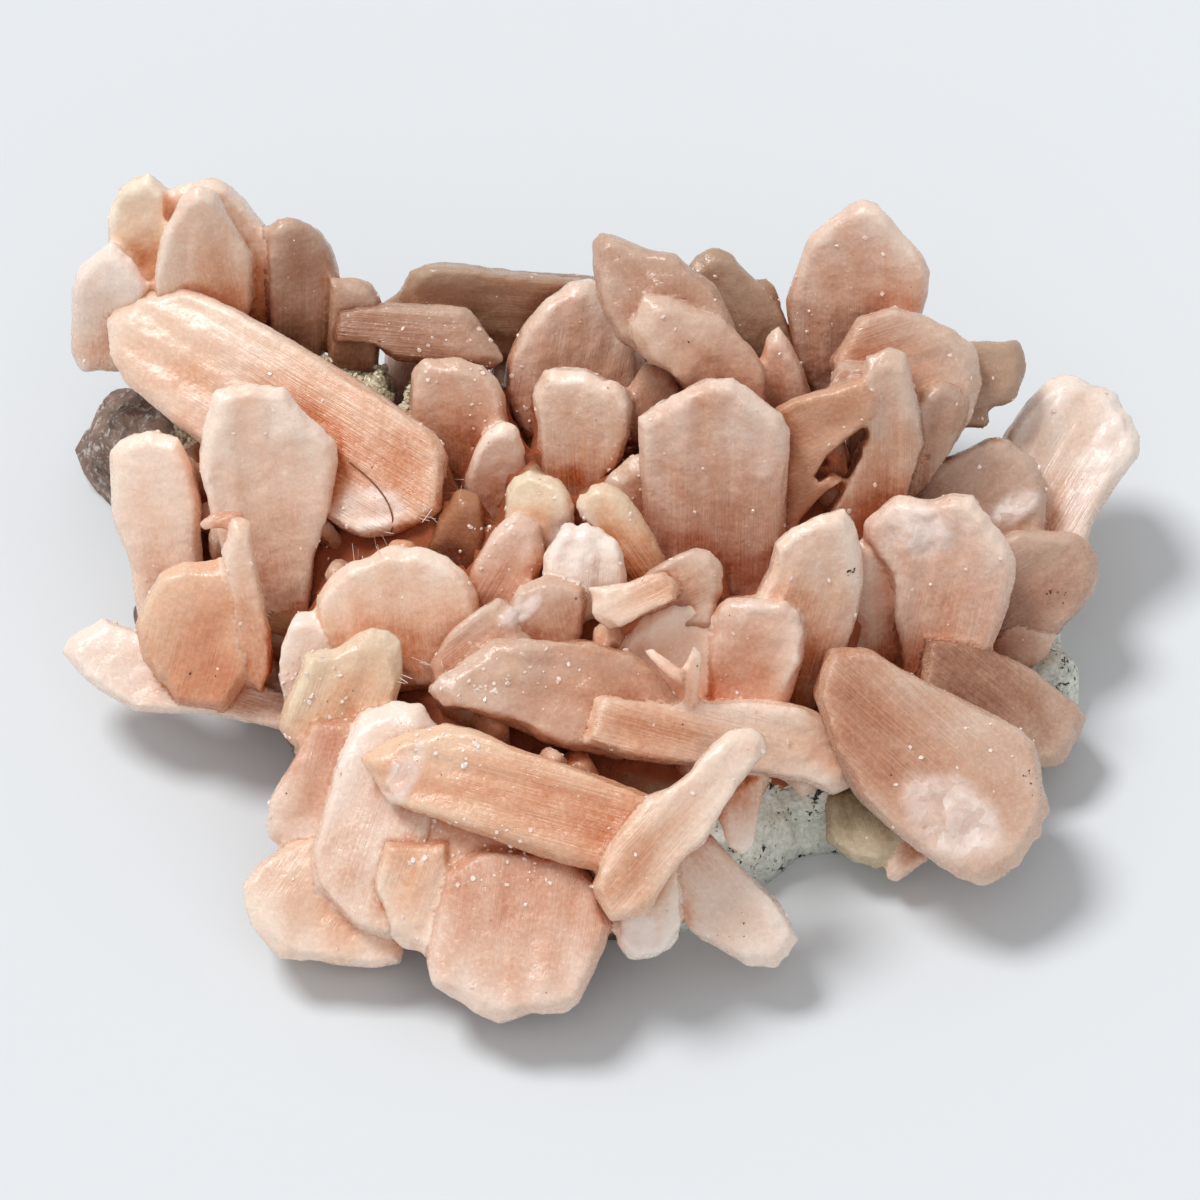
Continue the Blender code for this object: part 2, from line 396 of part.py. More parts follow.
def lofted(points, across, along, thick, back):
    """A tabular crystal: its outline lofted from front to back, with narrow bevels along its
    sides and a wide slope at its tip."""
    middle = sum(points, Vector()) / len(points)
    flat = [((p - middle).dot(across), (p - middle).dot(along)) for p in points]
    reach = [max(abs(x) for x, _ in flat), max(abs(y) for _, y in flat)]
    side = min(SIDE_CHAMFER, 0.25 * min(reach))
    slope = min(TIP_SLOPE, 0.3 * reach[1])
    set_back = min(CHAMFER_DEPTH, 0.3 * thick)
    mesh = bmesh.new()
    rings = []
    for share, depth in ((1.0, 0.0), (0.0, set_back), (BACK_TAPER, thick)):
        ring = []
        for x, y in flat:
            x *= 1 - share * side / reach[0]
            y *= 1 - share * (slope if y > 0 else side) / reach[1]
            ring.append(mesh.verts.new((middle + across * x + along * y + back * depth) * MM))
        rings.append(ring)
    mesh.faces.new(rings[0])
    mesh.faces.new(list(reversed(rings[-1])))
    count = len(flat)
    for ring, behind in zip(rings, rings[1:]):
        for i in range(count):
            j = (i + 1) % count
            mesh.faces.new((ring[i], behind[i], behind[j], ring[j]))
    bmesh.ops.recalc_face_normals(mesh, faces=mesh.faces)
    return mesh


def crystal_mesh(crystal):
    """One crystal's closed mesh. It runs back from its face almost along the line of sight, so
    that its outline stays as it was seen."""
    if isinstance(crystal, Stem):
        points, across, along = standing_points(crystal)
        back = along.cross(across).normalized()
    else:
        points = face_points(crystal)
        across, along = face_directions(crystal, points)
        back = (along.cross(across) * (1 - BACK_LEAN) - TO_EYE * BACK_LEAN).normalized()
    mesh = lofted(points, across, along, crystal.thick, back)
    trim_below(mesh, FLOOR_CLEARANCE)
    return mesh


def trim_below(mesh, height):
    """Cuts the mesh off flat at this height, and closes the cut."""
    geometry = mesh.verts[:] + mesh.edges[:] + mesh.faces[:]
    cut = bmesh.ops.bisect_plane(
        mesh, geom=geometry, dist=1e-7, plane_co=(0, 0, height * MM), plane_no=(0, 0, -1),
        clear_outer=True)
    edges = [item for item in cut["geom_cut"] if isinstance(item, bmesh.types.BMEdge)]
    if edges:
        bmesh.ops.contextual_create(mesh, geom=edges)
        bmesh.ops.recalc_face_normals(mesh, faces=mesh.faces)


def reach_of(outline, bearing):
    """Distance from the middle to an outline, in this direction seen from above."""
    corners = sorted((math.atan2(y, x), math.hypot(x, y)) for x, y in outline)
    first, last = corners[0], corners[-1]
    corners = [(last[0] - math.tau, last[1]), *corners, (first[0] + math.tau, first[1])]
    for (start, near), (end, far) in zip(corners, corners[1:]):
        if start <= bearing <= end:
            return near + (far - near) * (bearing - start) / (end - start)
    return first[1]


def top_of(lump, x, y):
    """Height of a lump's top above the table here, before its roughness."""
    height = lump.side_height
    for rise_x, rise_y, rise, spread in lump.rises:
        height += rise * math.exp(-((x - rise_x) ** 2 + (y - rise_y) ** 2) / spread ** 2)
    return height


def lump_mesh(lump):
    """A lump with steep broken sides, a domed top and a flat underside."""
    mesh = bmesh.new()
    bmesh.ops.create_icosphere(mesh, subdivisions=lump.detail, radius=1.0)
    for vertex in mesh.verts:
        x, y, z = vertex.co
        level = math.hypot(x, y)
        bearing = math.atan2(y, x)
        sideways = Vector((math.cos(bearing), math.sin(bearing), 0))
        point = sideways * reach_of(lump.outline, bearing) * level ** PLAN_POWER
        point.z = top_of(lump, point.x, point.y) * z ** SIDE_POWER if z > 0 else UNDERSIDE * z
        rough = noise.noise(point / ROUGH_SIZE) * lump.roughness
        outward = sideways * level ** 4 + Vector((0, 0, max(z, 0)))
        vertex.co = (point + outward * rough) * MM
    trim_below(mesh, lump.underside)
    return mesh


def swell(mesh, amount):
    """Moves a closed mesh's surface outwards."""
    mesh.normal_update()
    moves = [
        vertex.normal * amount * min(vertex.calc_shell_factor(), MOST_SHELL_FACTOR)
        for vertex in mesh.verts
    ]
    for vertex, move in zip(mesh.verts, moves):
        vertex.co += move * MM
    return mesh


def closed_object(name, mesh, collection, cutter=False):
    data = bpy.data.meshes.new(name)
    mesh.to_mesh(data)
    mesh.free()
    made = bpy.data.objects.new(name, data)
    collection.objects.link(made)
    if cutter:
        made.hide_render = True
        made.display_type = "WIRE"
    return made


def add_boolean(target, name, operation, collection):
    boolean = target.modifiers.new(name, "BOOLEAN")
    boolean.operation = operation
    boolean.solver = "EXACT"
    boolean.operand_type = "COLLECTION"
    boolean.collection = collection


def apply_modifiers(target):
    graph = bpy.context.evaluated_depsgraph_get()
    applied = bpy.data.meshes.new_from_object(target.evaluated_get(graph))
    target.modifiers.clear()
    target.data = applied


def bodies(mesh):
    """The mesh's separate bodies, each a list of its faces."""
    left = set(mesh.faces)
    found = []
    while left:
        body = [left.pop()]
        for face in body:
            for edge in face.edges:
                for other in edge.link_faces:
                    if other in left:
                        left.remove(other)
                        body.append(other)
        found.append(body)
    return found


def keep_largest_body(target):
    """Drops the crumbs that the cuts leave."""
    mesh = bmesh.new()
    mesh.from_mesh(target.data)
    found = sorted(bodies(mesh), key=lambda body: sum(face.calc_area() for face in body))
    crumbs = [face for body in found[:-1] for face in body]
    bmesh.ops.delete(mesh, geom=crumbs, context="FACES")
    bmesh.ops.dissolve_degenerate(mesh, dist=1e-6, edges=mesh.edges)
    mesh.to_mesh(target.data)
    mesh.free()


def material_of(name, color, roughness):
    material = bpy.data.materials.new(name)
    material.use_nodes = True
    shader = material.node_tree.nodes["Principled BSDF"]
    shader.inputs["Base Color"].default_value = (*color, 1)
    shader.inputs["Roughness"].default_value = roughness
    shader.inputs["Metallic"].default_value = 0.0
    return material


def new_collection(name):
    made = bpy.data.collections.new(name)
    bpy.context.scene.collection.children.link(made)
    return made


def make_rock(parts, cutters):
    rock = closed_object("basalt_matrix", lump_mesh(ROCK), parts)
    rock.data.materials.append(material_of("basalt", BASALT_COLOR, 0.9))
    closed_object("basalt_matrix_gap", swell(lump_mesh(ROCK), GAP), cutters, cutter=True)


def make_crystals(parts, grown, cutters):
    """All the crystals and the crust that they stand on, joined, then fitted over the rock."""
    crystals = closed_object("stilbite_crystals", lump_mesh(CRUST), parts)
    for sheaf, members in SHEAVES.items():
        for name, crystal in members.items():
            closed_object(f"{sheaf}_{name}", crystal_mesh(crystal), grown, cutter=True)
    add_boolean(crystals, "join", "UNION", grown)
    add_boolean(crystals, "rock", "DIFFERENCE", cutters)
    apply_modifiers(crystals)
    keep_largest_body(crystals)
    crystals.data.materials.clear()
    crystals.data.materials.append(material_of("stilbite", STILBITE_COLOR, 0.4))


def main():
    for item in list(bpy.data.objects):
        bpy.data.objects.remove(item)
    parts = new_collection("stilbite_cluster")
    grown = new_collection("single_crystals")
    cutters = new_collection("cutters")
    make_rock(parts, cutters)
    make_crystals(parts, grown, cutters)


main()
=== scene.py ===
"""Stilbite cluster, dressed: crystal skin, druse, rock, fibre and specks, with light and camera.

Every size below is in millimetres, in the frame of the solids. The table of crystals has the
outlines, heights and slopes that the solids are made from.
"""

import math
import random
from collections import namedtuple

import bmesh
import bpy
import numpy as np
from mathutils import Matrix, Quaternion, Vector, noise
from mathutils.bvhtree import BVHTree


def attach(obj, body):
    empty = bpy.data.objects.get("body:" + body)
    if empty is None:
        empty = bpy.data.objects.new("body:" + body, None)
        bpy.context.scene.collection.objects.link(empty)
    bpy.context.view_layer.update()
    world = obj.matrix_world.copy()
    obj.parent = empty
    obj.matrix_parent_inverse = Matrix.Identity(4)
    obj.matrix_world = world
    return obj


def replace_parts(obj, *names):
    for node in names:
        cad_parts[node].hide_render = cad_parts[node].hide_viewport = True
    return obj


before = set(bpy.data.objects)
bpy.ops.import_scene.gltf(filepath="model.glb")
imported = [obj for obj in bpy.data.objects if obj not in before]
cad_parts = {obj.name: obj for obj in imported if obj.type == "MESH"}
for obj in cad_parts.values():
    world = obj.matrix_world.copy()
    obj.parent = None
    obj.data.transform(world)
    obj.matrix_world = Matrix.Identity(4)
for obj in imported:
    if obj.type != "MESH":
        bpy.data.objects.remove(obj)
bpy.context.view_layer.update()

MM = 0.001

SIGHT_ELEVATION = math.radians(50)
SIGHT_DISTANCE = 900.0
SIGHT_MIDDLE = Vector((0.0, 5.0, 22.0))
SIGHT_RIGHT = Vector((1.0, 0.0, 0.0))
SIGHT_UP = Vector((0.0, math.sin(SIGHT_ELEVATION), math.cos(SIGHT_ELEVATION)))
TO_EYE = Vector((0.0, -math.cos(SIGHT_ELEVATION), math.sin(SIGHT_ELEVATION)))
EYE = SIGHT_MIDDLE + TO_EYE * SIGHT_DISTANCE

VOXEL = 0.45
COARSE_VOXEL = 0.6

SIDE_CHAMFER = 0.9
CHAMFER_DEPTH = 1.6
TIP_SLOPE = 2.6
BACK_TAPER = 0.5
BACK_LEAN = 0.8
FLOOR_CLEARANCE = 1.0

# A lump seen from above (x, y) and its height: steep sides, and rises (x, y, rise, spread) in
# its top.
Lump = namedtuple("Lump", "outline side_height rises roughness underside")
LUMP_DETAIL = 7
COARSE_DETAIL = 5
PLAN_POWER = 0.75
SIDE_POWER = 0.4
ROUGH_SIZE = 9.0
UNDERSIDE = 20.0
ROCK = Lump([
    (-65, 51), (-67.5, 46), (-65.5, 41), (-62, 37.5), (-58, 33), (-58, 27), (-60, 22), (-58, 15),
    (-53, 11), (-46, 9), (-41, 4), (-38, -4), (-34, -12), (-26, -23), (-10, -30), (8, -32),
    (15, -27), (21, -22.5), (25, -18.5), (29, -18), (35, -19), (44, -12), (54, -3), (60.5, 7),
    (58, 18), (50, 30), (40, 41), (20, 46), (0, 48), (-20, 49), (-45, 53), (-57, 53)],
    13.0, [(-55, 44, 8, 14), (0, 12, 4, 30), (54, 0, -5, 16)], 2.2, 0.0)
CRUST = Lump([
    (-58, 48), (-56, 38), (-57, 28), (-59, 20), (-56, 12), (-46, 7), (-39, 2), (-34, -7),
    (-24, -18), (-10, -25), (8, -26), (16, -18), (27, -14), (38, -10), (48, 0), (54, 8), (52, 18),
    (45, 28), (37, 37), (20, 42), (0, 44), (-20, 47), (-42, 50)],
    16.0, [(-50, 42, 14, 14), (-30, 40, 12, 14), (-10, 40, 6, 9), (0, 12, 12, 26),
           (32, 30, 8, 16), (-20, 22, 5, 14), (35, 5, 5, 18)], 1.6, 6.0)

# Stilbite's colours, red green blue out of 255: at tips and edges, on the faces, and towards the
# root and in hollows, where the deep colour is also painted shade. Grey, mauve and brown are darker
# copies that also paint the shade on crystals at the back, the top and the right; light is a paler
# copy that paints light on crystals the lamps leave too dark.
Hue = namedtuple("Hue", "pale middle deep")
HUES = {
    "peach": Hue((243, 219, 200), (229, 183, 153), (200, 114, 66)),
    "pink": Hue((236, 210, 192), (218, 169, 142), (184, 100, 60)),
    "mauve": Hue((220, 190, 169), (200, 149, 120), (160, 86, 50)),
    # grey: also a darker copy, painted shade for crystals at the back and right.
    "grey": Hue((204, 172, 151), (175, 128, 102), (126, 70, 42)),
    # brown: a darker copy, painted shade for crystals at the back and right.
    "brown": Hue((180, 150, 126), (168, 130, 104), (124, 78, 50)),
    "pearl": Hue((245, 228, 215), (232, 200, 179), (200, 126, 84)),
    "cream": Hue((246, 228, 206), (233, 196, 163), (204, 134, 86)),
    "yellow": Hue((234, 212, 184), (223, 178, 144), (196, 118, 70)),
    # light: a paler copy, painted light for crystals the lamps leave too dark.
    "light": Hue((250, 228, 210), (243, 205, 180), (216, 150, 112)),
    "white": Hue((253, 241, 229), (247, 226, 209), (228, 184, 152)),
    "orange": Hue((235, 197, 167), (216, 154, 118), (188, 96, 50)),
    "green": Hue((206, 190, 162), (178, 158, 126), (134, 106, 72)),
    "rust": Hue((212, 166, 136), (184, 122, 86), (140, 66, 30)),
    "dark": Hue((172, 118, 84), (138, 80, 48), (96, 44, 20)),
}

# How a crystal's surface grew, in millimetres of relief: broad lumps, fine lines and steps along
# the grain, and how ragged its tip is. Then how strongly its growth lines show, 0 to 1.
Finish = namedtuple("Finish", "lumps lines steps ragged lined")
FINISHES = {
    "grown": Finish(0.3, 0.04, 0.26, 0.35, 0.55),
    "ribbed": Finish(0.22, 0.07, 0.42, 0.45, 0.9),
    "knobby": Finish(0.7, 0.03, 0.16, 0.4, 0.1),
}

# height: of the outline's first point above the table. across, up: how fast the face rises to the
# right and upwards in the view; up is 0 for a level face, 0.64 for one square to the eye and 1.56
# for an upright one. thick: from face to back. grain: the way the crystal grew, in degrees from
# the right, anticlockwise. outline: of the face, right of and above the middle of the view.
Crystal = namedtuple("Crystal", "height across up thick grain outline hue finish",
                     defaults=["peach", "grown"])

# A crystal on the far side: the middles of its root and its tip (x, y, height above the table),
# its width and its thickness.
Stem = namedtuple("Stem", "root tip width thick turn hue finish", defaults=[0, "pink", "grown"])
# Shares of a stem's length and width, round its outline from the root.
STEM_OUTLINE = [
    (0.0, 0.36), (0.45, 0.46), (0.78, 0.5), (0.93, 0.3), (1.0, 0.1), (1.0, -0.1), (0.93, -0.3),
    (0.78, -0.5), (0.45, -0.46), (0.0, -0.36)]

SHEAVES = {
    "back_left_fan": {
        "knob": Crystal(48, 0.15, 1.1, 8, 110, [
            (-56.5, 53), (-54.5, 51.3), (-53.8, 46), (-54.5, 36), (-60, 36), (-61.2, 45.5),
            (-61.5, 48.5), (-60.4, 51.3), (-58.6, 52.7)], "cream", "knobby"),
        "left_blade": Crystal(42, 0.25, 1.1, 8, 92, [
            (-61, 44.5), (-58.8, 42.6), (-56.7, 39.4), (-57, 31), (-60, 28.5), (-65.3, 28.5),
            (-66.4, 31), (-66.3, 39.6), (-65.2, 41.9), (-63, 43.9)], "pearl"),
        "front_blade": Crystal(51, -0.12, 1.15, 7, 100, [
            (-50.3, 51.6), (-48.3, 51), (-46.8, 48.5), (-43.4, 43), (-43.4, 37.5), (-45, 30),
            (-56, 30), (-56, 40), (-54.5, 46), (-52.5, 50)]),
        "rear_blade": Crystal(47, 0.1, 1.15, 8, 105, [
            (-49.2, 52.7), (-47.2, 52.1), (-45, 50), (-42, 46.3), (-40.3, 43), (-39.2, 37),
            (-40, 28), (-50, 28), (-54.6, 44), (-54.4, 51.2), (-51.5, 51.9)]),
        "grey_blade": Crystal(42, -0.2, 1.1, 8, 88, [
            (-38.5, 47.7), (-36.8, 47.2), (-34.9, 46), (-33.6, 44), (-32.7, 40.9), (-33.5, 34),
            (-36, 26), (-41, 28), (-41.8, 38), (-41.8, 46.6), (-40.3, 47.5)], "grey"),
        "low_grey_blade": Crystal(35, -0.1, 1.0, 7, 80, [
            (-30, 40.1), (-28.7, 39.5), (-27.4, 36.5), (-28, 28), (-34, 28), (-34, 40.6)], "grey"),
    },
    "left_long_blade": {
        "long_blade": Crystal(37, 0.22, 0.58, 12, 149, [
            (-56.5, 39.4), (-53, 39.6), (-49.5, 38.4), (-43, 35), (-35, 30.3), (-26, 24.6),
            (-21.3, 21.3), (-19.6, 18.5), (-19.6, 15), (-20.1, 11.3), (-22, 9.7), (-26, 8.3),
            (-30, 7.7), (-34.5, 10), (-42, 14), (-50, 19.5), (-55, 23.5), (-59.5, 27.3),
            (-61.7, 31), (-62, 35), (-60, 38)], "peach", "ribbed"),
    },
    "left_front_sheaf": {
        "hexagonal_blade": Crystal(43, -0.08, 0.95, 8, 97, [
            (-44.5, 27.2), (-39.5, 26.4), (-36.5, 22.8), (-33.2, 19.8), (-32.9, 17), (-34, 11),
            (-35.6, 5), (-36.5, -4), (-45, -4), (-47.5, 6), (-50.2, 16.5), (-49.7, 21),
            (-48.2, 26.2)], "light"),
        "left_blade": Crystal(33, 0.2, 0.95, 8, 98, [
            (-56.5, 21), (-53, 20.3), (-51.3, 17), (-50.2, 12), (-50, 4), (-52, -6), (-57.5, -5),
            (-59.3, 5), (-61.2, 10), (-61.7, 18.5), (-59.5, 20.4)], "light"),
        "tongue": Crystal(29, 0.1, 0.75, 7, 75, [
            (-48, 4.9), (-45, 4.5), (-42.6, 2.2), (-42.2, -2), (-44, -9.5), (-47, -14),
            (-53, -13), (-57.5, -7), (-58.5, -3.5), (-57, 0.2), (-55, 3.5), (-52, 4.6)], "orange"),
        "slender_blade": Crystal(35, 0.05, 0.85, 5, 103, [
            (-46, 10.3), (-43.8, 10), (-42.6, 2), (-41.2, -4), (-41, -9.5), (-42.4, -11.8),
            (-44.3, -10.5), (-45.8, -5.5), (-46.2, 0), (-47.8, 6)]),
        "twig": Crystal(32.5, 0.0, 0.6, 1.6, 205, [
            (-50.1, 9.7), (-48, 11.2), (-44.6, 11), (-44.6, 9.2), (-49.6, 8.9)], "pink"),
        "pointing_blade": Crystal(15, 0.03, 0.45, 6, 165, [
            (-67.4, -6.3), (-66.5, -4.6), (-64.2, -3.3), (-62.4, -2), (-60, -2.9), (-57, -4.3),
            (-54.5, -7), (-48, -10), (-42, -11.5), (-36, -12), (-36, -17), (-43, -15.7),
            (-50, -14.2), (-58.5, -14), (-61, -12.6), (-65, -9.6)], "pearl"),
    },
    "back_bars": {
        "long_bar": Crystal(33, 0.0, 1.2, 10, 177, [
            (-22, 41.7), (-18, 41.6), (-10, 40.7), (-1, 39.8), (5, 39.2), (5, 30), (-8, 29),
            (-18, 31), (-23.5, 34.4), (-25.2, 38.2), (-23.7, 40.8)], "brown"),
        "bar_chip": Crystal(28.5, 0.1, 0.8, 4, 170, [
            (-24.8, 39.2), (-22.5, 38.6), (-20.8, 37.6), (-21, 34), (-28, 34), (-28, 36.5)], "brown"),
        "near_bar": Crystal(33, 0.05, 0.7, 8, 355, [
            (-16.8, 36.5), (-15.2, 35.2), (-13.5, 32.6), (-12, 30), (-14, 29), (-20, 29.5),
            (-25.5, 29.8), (-28.5, 32), (-33.5, 32.2), (-33.5, 36.7), (-26, 37)], "grey", "ribbed"),
    },
    "centre_back_sheaf": {
        "dome": Crystal(35, -0.1, 0.9, 11, 80, [
            (-3.5, 39.7), (-1, 40), (1.3, 38), (4, 34.5), (5.5, 30), (5, 24), (0, 20), (-9, 20),
            (-12, 26), (-11.5, 30), (-9.5, 34), (-6.5, 37.6)], "pink"),
        "striated_blade": Crystal(38, 0.15, 1.05, 9, 95, [
            (-4, 28.8), (-1, 28.2), (1.2, 27.4), (3.2, 26.3), (4, 24.2), (3.6, 20.5), (2.4, 17.5),
            (0.5, 15), (-1, 8), (-7, 8), (-7.8, 17), (-8, 22), (-8.6, 25.4), (-7.2, 28.3)],
            "peach", "ribbed"),
        "grey_blade": Crystal(33, 0.12, 0.9, 9, 92, [
            (-18, 30.1), (-14.8, 29.2), (-13, 27.6), (-12, 25.5), (-11.5, 20), (-13, 10),
            (-20, 8), (-23.4, 13), (-23.9, 23), (-23.6, 28.4), (-22, 30)], "mauve"),
        "low_blade": Crystal(32, -0.15, 1.1, 8, 88, [
            (-12, 22.1), (-10.4, 21.5), (-9.3, 19), (-8.4, 15), (-9, 9), (-11, 3), (-15, 3),
            (-17, 10), (-17, 15), (-15.7, 19), (-14, 21.4)], "light"),
        "small_blade": Crystal(34, 0.0, 0.85, 6, 100, [
            (5.8, 29.8), (9, 28.7), (10.5, 26), (9, 20), (3.5, 19), (3.6, 26.5)], "mauve"),
        "shade_blade": Crystal(32.5, 0.0, 0.9, 7, 112, [
            (3.5, 17.6), (5.7, 18), (9, 15), (10, 5), (6, 2), (2, 4), (1, 9), (0.3, 14.8)], "mauve"),
    },
    "top_centre_sheaf": {
        "upper_blade": Crystal(48, 0.06, 0.6, 9, 128, [
            (0.2, 46), (3.3, 45.1), (6.5, 43.9), (9.3, 43.3), (12, 40.8), (14.2, 39.4),
            (17, 34.5), (15, 29), (8, 29.5), (2.2, 32.6), (0.4, 36), (-0.6, 40), (-1.1, 45.2)],
            "grey", "knobby"),
        "lower_blade": Crystal(47, -0.1, 0.8, 10, 132, [
            (5.5, 38.2), (10, 37.6), (16, 35), (18.8, 31.8), (20.3, 29.2), (20.2, 26), (21, 23),
            (16, 19), (12, 24.5), (8.5, 28.5), (5.2, 30.6), (4, 34)], "mauve", "knobby"),
        "rear_blade": Crystal(41, -0.12, 0.85, 9, 118, [
            (14.6, 43.9), (16.6, 43), (18.5, 40.8), (21, 39), (23.3, 35.5), (25.2, 31),
            (26.3, 27), (26, 20), (19, 20), (13, 30), (11, 37), (11.1, 41.6), (12.5, 43.2)], "brown"),
        "side_blade": Crystal(39.5, 0.0, 0.9, 7, 108, [
            (22.3, 34.2), (24, 31.7), (25.6, 28.4), (26.4, 25.5), (25.5, 20), (22, 17),
            (19.8, 24), (19.7, 29), (20.5, 33)], "pink"),
        "small_rear_blade": Crystal(36, 0.0, 0.9, 6, 100, [
            (20.8, 40.1), (21.8, 39.1), (22.6, 37), (23, 30), (18, 30), (18.2, 39.6)], "brown"),
    },
    "top_right_sheaf": {
        "roof_blade": Crystal(49, 0.1, 1.0, 10, 92, [
            (33, 50), (34.7, 49.6), (38.5, 45), (40.3, 43), (41.2, 41), (41, 38.4), (40, 35.5),
            (38, 26), (27, 24), (23.6, 31), (23.3, 37.5), (25, 42.5), (26, 45), (28.6, 47.4),
            (31.3, 49.3)], "pink"),
        "arching_blade": Crystal(42, -0.15, 0.7, 9, 20, [
            (40.2, 35.8), (44, 33.9), (47, 32.2), (48, 28), (47, 23.5), (44, 18.5), (38, 15),
            (31, 22), (29, 30), (32.5, 35.3), (36.6, 36.7)], "mauve"),
        "right_tip": Crystal(34.5, 0.0, 0.6, 8, 8, [
            (52.2, 32.5), (53.2, 31), (53.4, 29.3), (52.8, 27), (51.8, 25), (50.6, 24.4),
            (46, 23.4), (40, 22), (40, 31), (46.5, 32.2), (50.3, 32.1)], "brown"),
        "right_chip": Crystal(27.5, 0.0, 0.6, 4, 300, [
            (48.3, 21.2), (49, 22.3), (48.9, 24.2), (44, 27), (42, 22), (46.6, 21.6)], "brown"),
        "round_blade": Crystal(38, -0.2, 0.95, 7, 85, [
            (43, 27.3), (45, 26.6), (46.4, 24.8), (45.9, 22.3), (43.8, 18.5), (41, 14),
            (36, 10), (37, 20), (40.6, 26)], "grey"),
        "tall_blade": Crystal(46, -0.15, 0.95, 8, 90, [
            (36.5, 31.3), (38.4, 30.7), (39.7, 26), (40.9, 19.6), (38.4, 12.8), (36, 5), (28, 5),
            (28.3, 10.5), (31, 15), (34.2, 21.5), (33.2, 26), (33.6, 30.2)], "mauve", "ribbed"),
        "slanting_blade": Crystal(44, 0.12, 0.85, 8, 28, [
            (34, 28.1), (35.5, 26), (35, 23.2), (31, 20), (28.3, 17.8), (25.6, 13.5), (24.6, 9),
            (23.6, 3), (18, 3), (17, 18), (22, 24.2), (24.5, 25.5), (28, 26.4)], "rust"),
        "white_chip": Crystal(41, 0.0, 0.8, 5, 60, [
            (29.8, 29.7), (33.6, 29.9), (35, 27), (34, 22), (29, 22), (28.6, 27.8)], "grey"),
    },
    "central_blade": {
        "central_blade": Crystal(47, 0.06, 1.05, 9, 90, [
            (13.4, 27.7), (16.5, 27.5), (20, 25), (22.6, 23), (23.7, 21), (23.5, 14), (23, 6),
            (21.5, -3), (18, -8), (11, -8), (7.5, 0), (5.6, 9), (5, 16), (4.9, 22.7), (8.5, 24.9),
            (11, 26.6)], "pink", "ribbed"),
    },
    "right_sheaf": {
        "end_blade": Crystal(26, -0.05, 0.5, 10, 58, [
            (58.2, 28.1), (60.6, 27.8), (64.6, 26), (66, 23.2), (67.5, 20.6), (67.4, 18.4),
            (64, 13.5), (62, 10.5), (60, 5), (54, 2), (50, 8), (49.5, 15), (51, 21.2),
            (53.6, 24.8), (56, 27.2)], "pearl", "ribbed"),
        "shoulder_blade": Crystal(28, -0.1, 0.68, 9, 40, [
            (49, 20.4), (51.3, 20), (53.5, 18.3), (55.4, 16), (56.2, 13.3), (56, 9.5), (53, 5),
            (46, 2), (36, 4), (36, 13), (40, 17), (44.5, 18.2)], "grey"),
        "side_blade": Crystal(21, -0.12, 0.75, 9, 30, [
            (59.5, 8.1), (61.2, 7.2), (62.4, 5), (62.7, 3.2), (61.9, 1), (60, -1.2), (57.5, -3.6),
            (54, -9), (47, -9), (44, 0), (47, 6), (52, 8.7), (56, 8.6)], "grey"),
        "under_blade": Crystal(13, 0.0, 0.6, 6, 350, [
            (57.2, -4.2), (57, -6), (55, -7.8), (48, -10), (44, -5), (49, -2.6), (53, -3.2)], "mauve"),
    },
    "right_front_sheaf": {
        "roof_blade": Crystal(36, 0.1, 0.9, 10, 78, [
            (46.8, 12.8), (48.2, 10.6), (50, 8.5), (51.9, 5), (52, 2.5), (51, -1), (49.3, -5.5),
            (47, -14), (38, -14), (37.5, -6), (37, 2), (33, 8), (33.2, 9.6), (35.4, 11.6),
            (37, 12.6), (41, 12.3), (44, 13)], "pink", "ribbed"),
        "shade_blade": Crystal(30, -0.25, 0.9, 8, 92, [
            (34.2, 8.6), (37, 7.3), (40.3, 5), (41.5, 0), (41, -8), (39, -14), (31, -14),
            (31, -4), (31.8, 6.5)], "pink"),
        "long_blade": Crystal(13.5, -0.12, 0.55, 11, 318, [
            (52, -33.4), (50, -34.9), (47.5, -35.4), (45, -34.4), (40, -31.2), (36, -28.3),
            (32.5, -24.6), (30, -20), (27, -12), (29, -6), (34, -6.5), (38, -8.6), (44, -11.5),
            (48, -13.8), (52.5, -15.9), (54.7, -17.8), (55.4, -21), (56.1, -26), (55.4, -29.4)],
            "mauve", "ribbed"),
        "far_blade": Crystal(10.5, -0.3, 0.55, 8, 320, [
            (61.2, -14.4), (60.4, -17.2), (59, -19.4), (57.3, -20.9), (55, -21), (48, -19),
            (40, -11), (41, -5), (47, -5.2), (51, -6.8), (54.5, -8.6), (57.5, -11), (60.2, -12.8)],
            "grey", "ribbed"),
    },
    "centre_front_sheaf": {
        "white_blade": Crystal(37, 0.0, 0.85, 4.5, 85, [
            (-4.3, 9.5), (-2.9, 8.5), (-1.5, 9.3), (0.2, 9.1), (2, 7.5), (3, 6), (3.4, 2.5),
            (3, -2), (-2, -3), (-4, 1.5), (-7, 3.4), (-7, 5.4)], "white", "ribbed"),
        "cream_blade": Crystal(36, 0.0, 0.6, 5, 205, [
            (-1.5, 1.6), (3, 2.1), (5.6, 3.3), (8, 3.9), (10.1, 2), (9.9, 0), (6, -1.6),
            (3.5, -2.9), (1, -3.9), (-0.6, -2.6)], "peach"),
        "grey_knob": Crystal(36.5, 0.0, 0.75, 6, 25, [
            (12, 6.3), (13.8, 6.1), (15.1, 4.8), (15.6, 3.3), (15.3, 0.8), (14, -4), (7, -4),
            (3.5, 1), (7, 4.3), (10, 5.7)], "mauve"),
        "yellow_blade": Crystal(37, 0.0, 0.8, 5, 125, [
            (0.5, 14.8), (2.2, 14.1), (3.6, 13), (5.2, 10.4), (7.2, 7), (10, 2), (5, -2), (2, 3),
